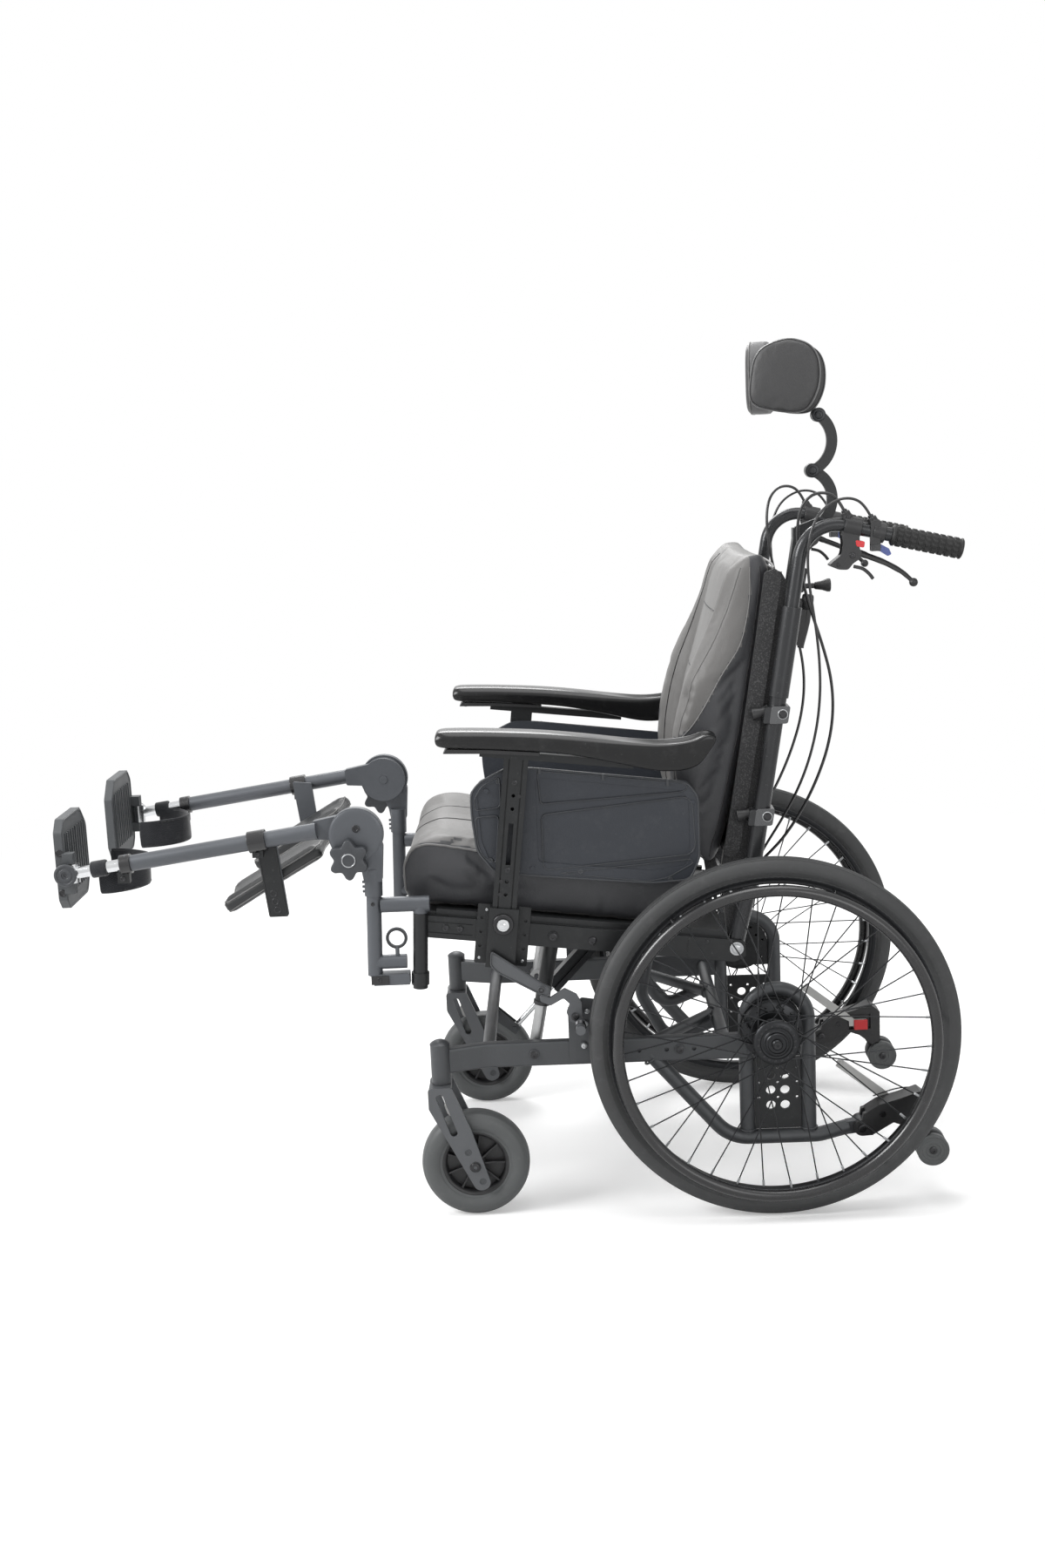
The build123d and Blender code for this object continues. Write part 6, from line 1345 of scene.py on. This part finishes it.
class WHEELCHAIR_OT_headrest(Task, bpy.types.Operator):
    """Upholster the headrest's centre pad and its two side lobes"""
    bl_idname, bl_label = "wheelchair.headrest", "Headrest pads"

    def make(self, scene):
        hy, hz = HEAD
        turn = Matrix.Translation((0, hy, 0)) @ Matrix.Rotation(radians(-11), 4, "Z")
        turn = turn @ Matrix.Translation((0, -hy, 0))

        def placed(form):
            form.points = [tuple(turn @ Vector(point)) for point in form.points]
            return form
        thin = scene.chair_sizes.seam / MM
        outline = rounded([(-74, -60), (74, -60), (74, 60), (-74, 60)], 44, 8)
        middle = placed(Form().rings([
            [(x * s, hy + y, hz + z * s) for x, z in outline]
            for y, s in ((-62, 0.55), (-62, 0.8), (-60, 0.93), (-55, 0.985), (-50, 1.0),
                         (-38, 1.0), (-26, 1.0), (-22, 0.95))]))
        pad = middle.build("headrest_middle", ["head", "head_edge"], "headrest_pad",
                           stands_for="headrest_pad", sharp=180, levels=1)
        local = turn.inverted()
        tint_by(pad, lambda centre, normal: int(
            -56 < (local @ centre).y - hy < -24 and abs(normal.y) < 0.8))
        edge = [turn @ Vector((x * 0.985, 445.5, hz + z * 0.985)) for x, z in outline]
        Form().swept(edge, thin * 1.3, 8, True).build("headrest_middle_piping", "piping",
                                                      "headrest_pad")
        lobe = [(-60, -48), (38, -66), (62, -24), (64, 20), (50, 50), (8, 64), (-46, 44)]
        lobe = [(hy + 2 + y, hz + z) for y, z in rounded(lobe, 30, 5)]
        cy = sum(y for y, z in lobe) / len(lobe)
        cz = sum(z for y, z in lobe) / len(lobe)
        for word, side in SIDES:
            form = placed(Form().rings([
                [(side * x, cy + (y - cy) * s, cz + (z - cz) * s) for y, z in lobe]
                for x, s in ((76, 0.62), (76, 0.86), (78, 0.96), (82, 1.0), (92, 1.0),
                             (102, 1.0), (107, 0.97), (111, 0.87), (112, 0.6))]))
            pad = form.build(f"headrest_lobe_{word}", "head", "headrest_pad",
                             stands_for="headrest_pad", sharp=180)
            shaped(pad, 4.5, 4.0, 2.5)
            for x, part in ((80, "inner"), (109, "outer")):
                ring = [turn @ Vector((side * x, cy + (y - cy) * 0.99, cz + (z - cz) * 0.99))
                        for y, z in lobe]
                seam(pad, f"lobe_{part}_seam_{word}", ring, "thread", "headrest_pad", thin,
                     0.1, 2, True)
        board = placed(Form().slab([(478.5, 1330), (486, 1326), (492, 1338), (492, 1398),
                                    (486, 1408), (478.5, 1404)], -98, 98))
        board.build("headrest_board", "plastic", "headrest_pad", bevel=1.5)


class WHEELCHAIR_OT_legs(Task, bpy.types.Operator):
    """Fit the knee castings, knobs, leg clamps, calf brackets and footplates"""
    bl_idname, bl_label = "wheelchair.legs", "Legrests"

    def make(self, scene):
        knee = Form()
        face = LEG_X + 13
        knee.turned([(-3, 44.9), (-0.6, 44.3), (0.6, 42.6), (1.4, 39.4), (1.7, 34),
                     (1.7, 0.05)], (face, *KNEE), OUT, 72)
        knee.screw((face + 1.4, -246, 671), OUT, 6.4, 2.4, tint=1)
        hub = (-259.0, 622.0)
        star = [(29.2 - 4.7 * cos(6 * t), t) for t in [2 * pi * k / 96 for k in range(96)]]
        knee.rings([[(x, hub[0] + r * s * cos(t), hub[1] + r * s * sin(t))
                     for r, t in star]
                    for x, s in ((267.6, 0.98), (268.4, 1.0), (280.5, 1.0), (282.4, 0.98),
                                 (283.4, 0.9), (283.6, 0.5))], tint=2)
        knee.turned([(0, 13.2), (1.0, 12.9), (1.0, 0.05)], (283.2, *hub), sides=40, tint=2)
        knee.turned([(283.9, 11.6), (284.8, 11.4), (284.8, 10.0), (283.9, 9.8)], (0, *hub),
                    sides=40, loop=True, tint=4)
        knee.swept([(LEG_X, *point) for point in circle(40, 15.5, (-191, 480))], 2.9, 10,
                   True, tint=3)
        for z in (562, 570, 578):
            knee.block((LEG_X - 3, LEG_X + 3), (-242.5, -237), (z - 1.8, z + 1.8))
        knee.screw((LEG_X + 12, -226, 542), OUT, 3.4, 1.6, tint=1)
        knee.block((LEG_X - 13.5, LEG_X + 13.5), (-236, -206), (404, 419), tint=3)
        knee.screw((LEG_X + 13.4, -222, 412), OUT, 3.8, 1.6, tint=1)
        knee.pair("hanger_details", ["leg", "screw", "knob", "plastic", "steel"], "hanger",
                  bevel=0.35)

        leg = Form()
        start, end = LEG_LINE
        axis = heading(start, end)
        ring = between(start, end, 0.325)
        leg.turned([(-15, 15.4), (-14.4, 17.9), (14.4, 17.9), (15, 15.4)],
                   (LEG_X, *ring), axis, 40, tint=3)
        leg.block((LEG_X - 6, LEG_X + 6), (ring[0] - 9, ring[0] + 9), (ring[1] - 27,
                                                                      ring[1] - 15))
        leg.screw((LEG_X + 6, ring[0], ring[1] - 21), OUT, 3.6, 2, tint=1)
        clamp = (-640.0, 622.8)
        leg.turned([(-9, 14.8), (-8.4, 16.4), (8.4, 16.4), (9, 14.8)],
                   (LEG_X, clamp[0] + 9, clamp[1] + 1), axis, 40, tint=3)
        leg.block((LEG_X - 7, LEG_X + 7), (clamp[0] - 6, clamp[0] + 14),
                  (clamp[1] - 30, clamp[1] - 12))
        leg.screw((LEG_X + 7, clamp[0] + 3, clamp[1] - 22), OUT, 4.4, 2.4, tint=1)
        outer = LEG_X - 17.5
        leg.slab(rounded([(-419, 662), (-403, 520), (-371, 520), (-385, 658)], 3),
                 outer - 0.4, outer + 2.4)
        for y, z in ((-393, 560), (-391, 546), (-388, 532)):
            leg.turned([(-0.4, 6.4), (0.5, 6.2), (0.6, 4.0), (-1, 3.8)],
                       (outer + 2.4, y, z), OUT, 24, tint=1)
        leg.swept([(outer + 2.4, y, z) for y, z in rounded(
            [(-417, 660), (-401, 522), (-373, 522), (-387, 656)], 3)], 0.9, 8, True)
        leg.pair("leg_hardware", ["bracket", "screw", "steel", "gloss"], "leg", bevel=0.3)

        disc = Form()
        disc.turned([(-12, 8), (-1.5, 9), (-1, 17.5), (0.2, 18.8), (4.0, 18.8), (5.0, 17.4),
                     (5.0, 14.6), (4.0, 14.0), (4.0, 11.0), (5.0, 10.4), (5.0, 6.2),
                     (3.4, 5.8), (3.4, 3.4, 6), (1.8, 3.3, 6)],
                    (LEG_X + 12, end[0] - 8, end[1]), OUT, 48)
        disc.pair("foot_hinge_disc", "knob", "extension", bevel=0.3)

        foot = Form()
        hinge = LEG_X - 4
        for z in (578, 646):
            foot.turned([(-0.2, 6.4), (0.8, 6.0), (0.9, 3.9), (-1.5, 3.7)],
                        (hinge + 2.4, -742, z), OUT, 24, tint=2)
        for index in range(15):
            x = 108 + index * 8.6
            foot.block((x - 1.6, x + 1.6), (-735.4, -733.4), (574, 676))
        outline = [(98, 579), (119, 550), (230, 550), (246, 567), (246, 679), (229, 698),
                   (127, 698), (98, 667)]
        rim = rounded(outline, 8)
        foot.swept([(x, -735.2, z) for x, z in rim], 1.8, 8, True)
        facet = [(x + (172 - x) * 0.13, -749.2, z + (624 - z) * 0.13) for x, z in rim]
        foot.rings([facet, [(x + (172 - x) * 0.06, -751.4, z + (624 - z) * 0.06)
                            for x, y, z in facet]])
        foot.pair("footplate_tread", ["foot", "knob", "screw"], "foot", bevel=0.4)


class WHEELCHAIR_OT_leg_pads(Task, bpy.types.Operator):
    """Upholster the calf pads and sew the heel straps"""
    bl_idname, bl_label = "wheelchair.leg_pads", "Calf pads and heel straps"

    def make(self, scene):
        thin = scene.chair_sizes.seam / MM
        low = Vector(CALF[0])
        along = (Vector(CALF[1]) - low).normalized()
        out = Vector((-along.y, along.x))
        rings = []
        for t, s in ((-1, 0.5), (0, 0.8), (4, 0.96), (14, 1.0), (60, 1.0), (120, 1.0),
                     (176, 1.0), (186, 0.96), (190, 0.8), (191, 0.5)):
            ring = []
            for x, n in ((88, 2), (92, 0.5), (120, 0), (158, 0), (196, 0), (220, 0.5),
                         (223.5, 2), (224.5, 8), (224, 18), (220, 23), (206, 24.5),
                         (185, 19.5), (156, 16.5), (127, 19.5), (104, 24.5), (91, 23),
                         (87.4, 18), (87, 8)):
                place = low + along * t + out * (1 + (n - 13) * s)
                ring.append((CALF_X + (x - CALF_X) * (0.93 + 0.07 * s), place.x, place.y))
            rings.append(ring)
        for word, side in SIDES:
            pad = Form().rings(rings).build(
                f"calf_pad_cover_{word}", "vinyl", f"calf_{word}",
                stands_for=f"calf_pad_{word}", side=side, sharp=180)
            shaped(pad, 4.5, 4.0, 2.0)
            for n, part in ((3.5, "rear"), (21.5, "front")):
                loop = [(88, 2), (88, 95), (88, 188), (156, 190), (223, 188), (224, 95),
                        (223, 2), (156, 0)]
                line = [(side * x, *(low + along * t + out * (n - 12)))
                        for x, t in rounded(loop, 16, 4)]
                seam(pad, f"calf_{part}_piping_{word}", line, "piping", f"calf_{word}",
                     thin * 1.25, 0.3, 2, True)
        mount = Form()
        mount.turned([(-6, 9), (8, 9), (9, 12.5), (12, 12.5), (13, 11)], (214, -393, 560),
                     OUT, 28)
        place = low + along * 95 + out * -13
        mount.turned([(0, 15), (4, 14), (5, 11)], (CALF_X, *place),
                     (0, -out.x, -out.y), 32)
        for t in (70, 120):
            place = low + along * t + out * -12.5
            mount.screw((CALF_X, *place), (0, -out.x, -out.y), 6, 4, tint=1)
        mount.pair("calf_mount", ["plastic", "screw"], "calf", bevel=0.4)

        path = flowing([(238.3, -682, 0), (236, -660, 0), (222, -636, 0), (198, -619, 0),
                        (172, -613, 0), (146, -621, 0), (126, -644, 0), (114, -668, 0),
                        (110, -692, 0)], 5)
        for word, side in SIDES:
            rings = []
            for k, point in enumerate(path):
                run = (path[min(k + 1, len(path) - 1)] - path[max(k - 1, 0)]).normalized()
                normal = Vector((-run.y, run.x, 0))
                share = k / (len(path) - 1)
                plump = 1.4 + 1.0 * sin(pi * share)
                wave = 0.8 * sin(share * 19)
                ring = []
                for z, n in ((572, 0), (573, 1), (584, 1.25), (597, 1.3), (610, 1.25),
                             (621, 1), (622, 0), (621, -1), (610, -1.1), (597, -1.15),
                             (584, -1.1), (573, -1)):
                    at = point + normal * (n * plump + wave * (z - 597) / 25)
                    ring.append((side * at.x, at.y, z))
                rings.append(ring)
            strap = Form().rings(rings).build(f"heel_strap_band_{word}", "webbing",
                                              f"extension_{word}", levels=1, sharp=180,
                                              stands_for=f"heel_strap_{word}")
            for z in (576, 618):
                line = [(side * point.x, point.y, z) for point in path[1:-1]]
                Form().swept(laid_on(strap, line, 0.1, 1), 0.7, 6).build(
                    f"strap_stitch_{z}_{word}", "thread", f"extension_{word}")
        cuff = Form()
        spot = between(*LEG_LINE, 0.9)
        cuff.turned([(-13, 11.2), (-13, 13.0), (-11, 13.9), (11, 13.9), (13, 13.0),
                     (13, 11.2)], (LEG_X, *spot), heading(*LEG_LINE), 32, loop=True)
        cuff.pair("strap_cuff", "webbing", "extension", bevel=0.4)


OPERATORS = (
    WHEELCHAIR_OT_finishes, WHEELCHAIR_OT_cables, WHEELCHAIR_OT_drive_wheels,
    WHEELCHAIR_OT_casters, WHEELCHAIR_OT_fasteners, WHEELCHAIR_OT_handles,
    WHEELCHAIR_OT_armrests, WHEELCHAIR_OT_seat, WHEELCHAIR_OT_back,
    WHEELCHAIR_OT_headrest, WHEELCHAIR_OT_legs, WHEELCHAIR_OT_leg_pads,
    WHEELCHAIR_OT_stage,
)


class WHEELCHAIR_PT_panel(bpy.types.Panel):
    """The chair's build steps, sizes and colours"""
    bl_idname, bl_label = "WHEELCHAIR_PT_panel", "Wheelchair"
    bl_space_type, bl_region_type, bl_category = "VIEW_3D", "UI", "Wheelchair"

    def draw(self, context):
        for group in (context.scene.chair_colours, context.scene.chair_sizes):
            box = self.layout.box()
            for name in group.bl_rna.properties.keys():
                if name not in ("rna_type", "name"):
                    box.prop(group, name)
        for operator in OPERATORS:
            self.layout.operator(operator.bl_idname)


CLASSES = (ChairColours, ChairSizes, *OPERATORS, WHEELCHAIR_PT_panel)


def register():
    for cls in CLASSES:
        bpy.utils.register_class(cls)
    bpy.types.Scene.chair_colours = PointerProperty(type=ChairColours)
    bpy.types.Scene.chair_sizes = PointerProperty(type=ChairSizes)


def unregister():
    del bpy.types.Scene.chair_sizes
    del bpy.types.Scene.chair_colours
    for cls in reversed(CLASSES):
        bpy.utils.unregister_class(cls)


def main():
    register()
    for operator in OPERATORS:
        getattr(bpy.ops.wheelchair, operator.bl_idname.split(".")[1])()


if __name__ == "__main__":
    main()
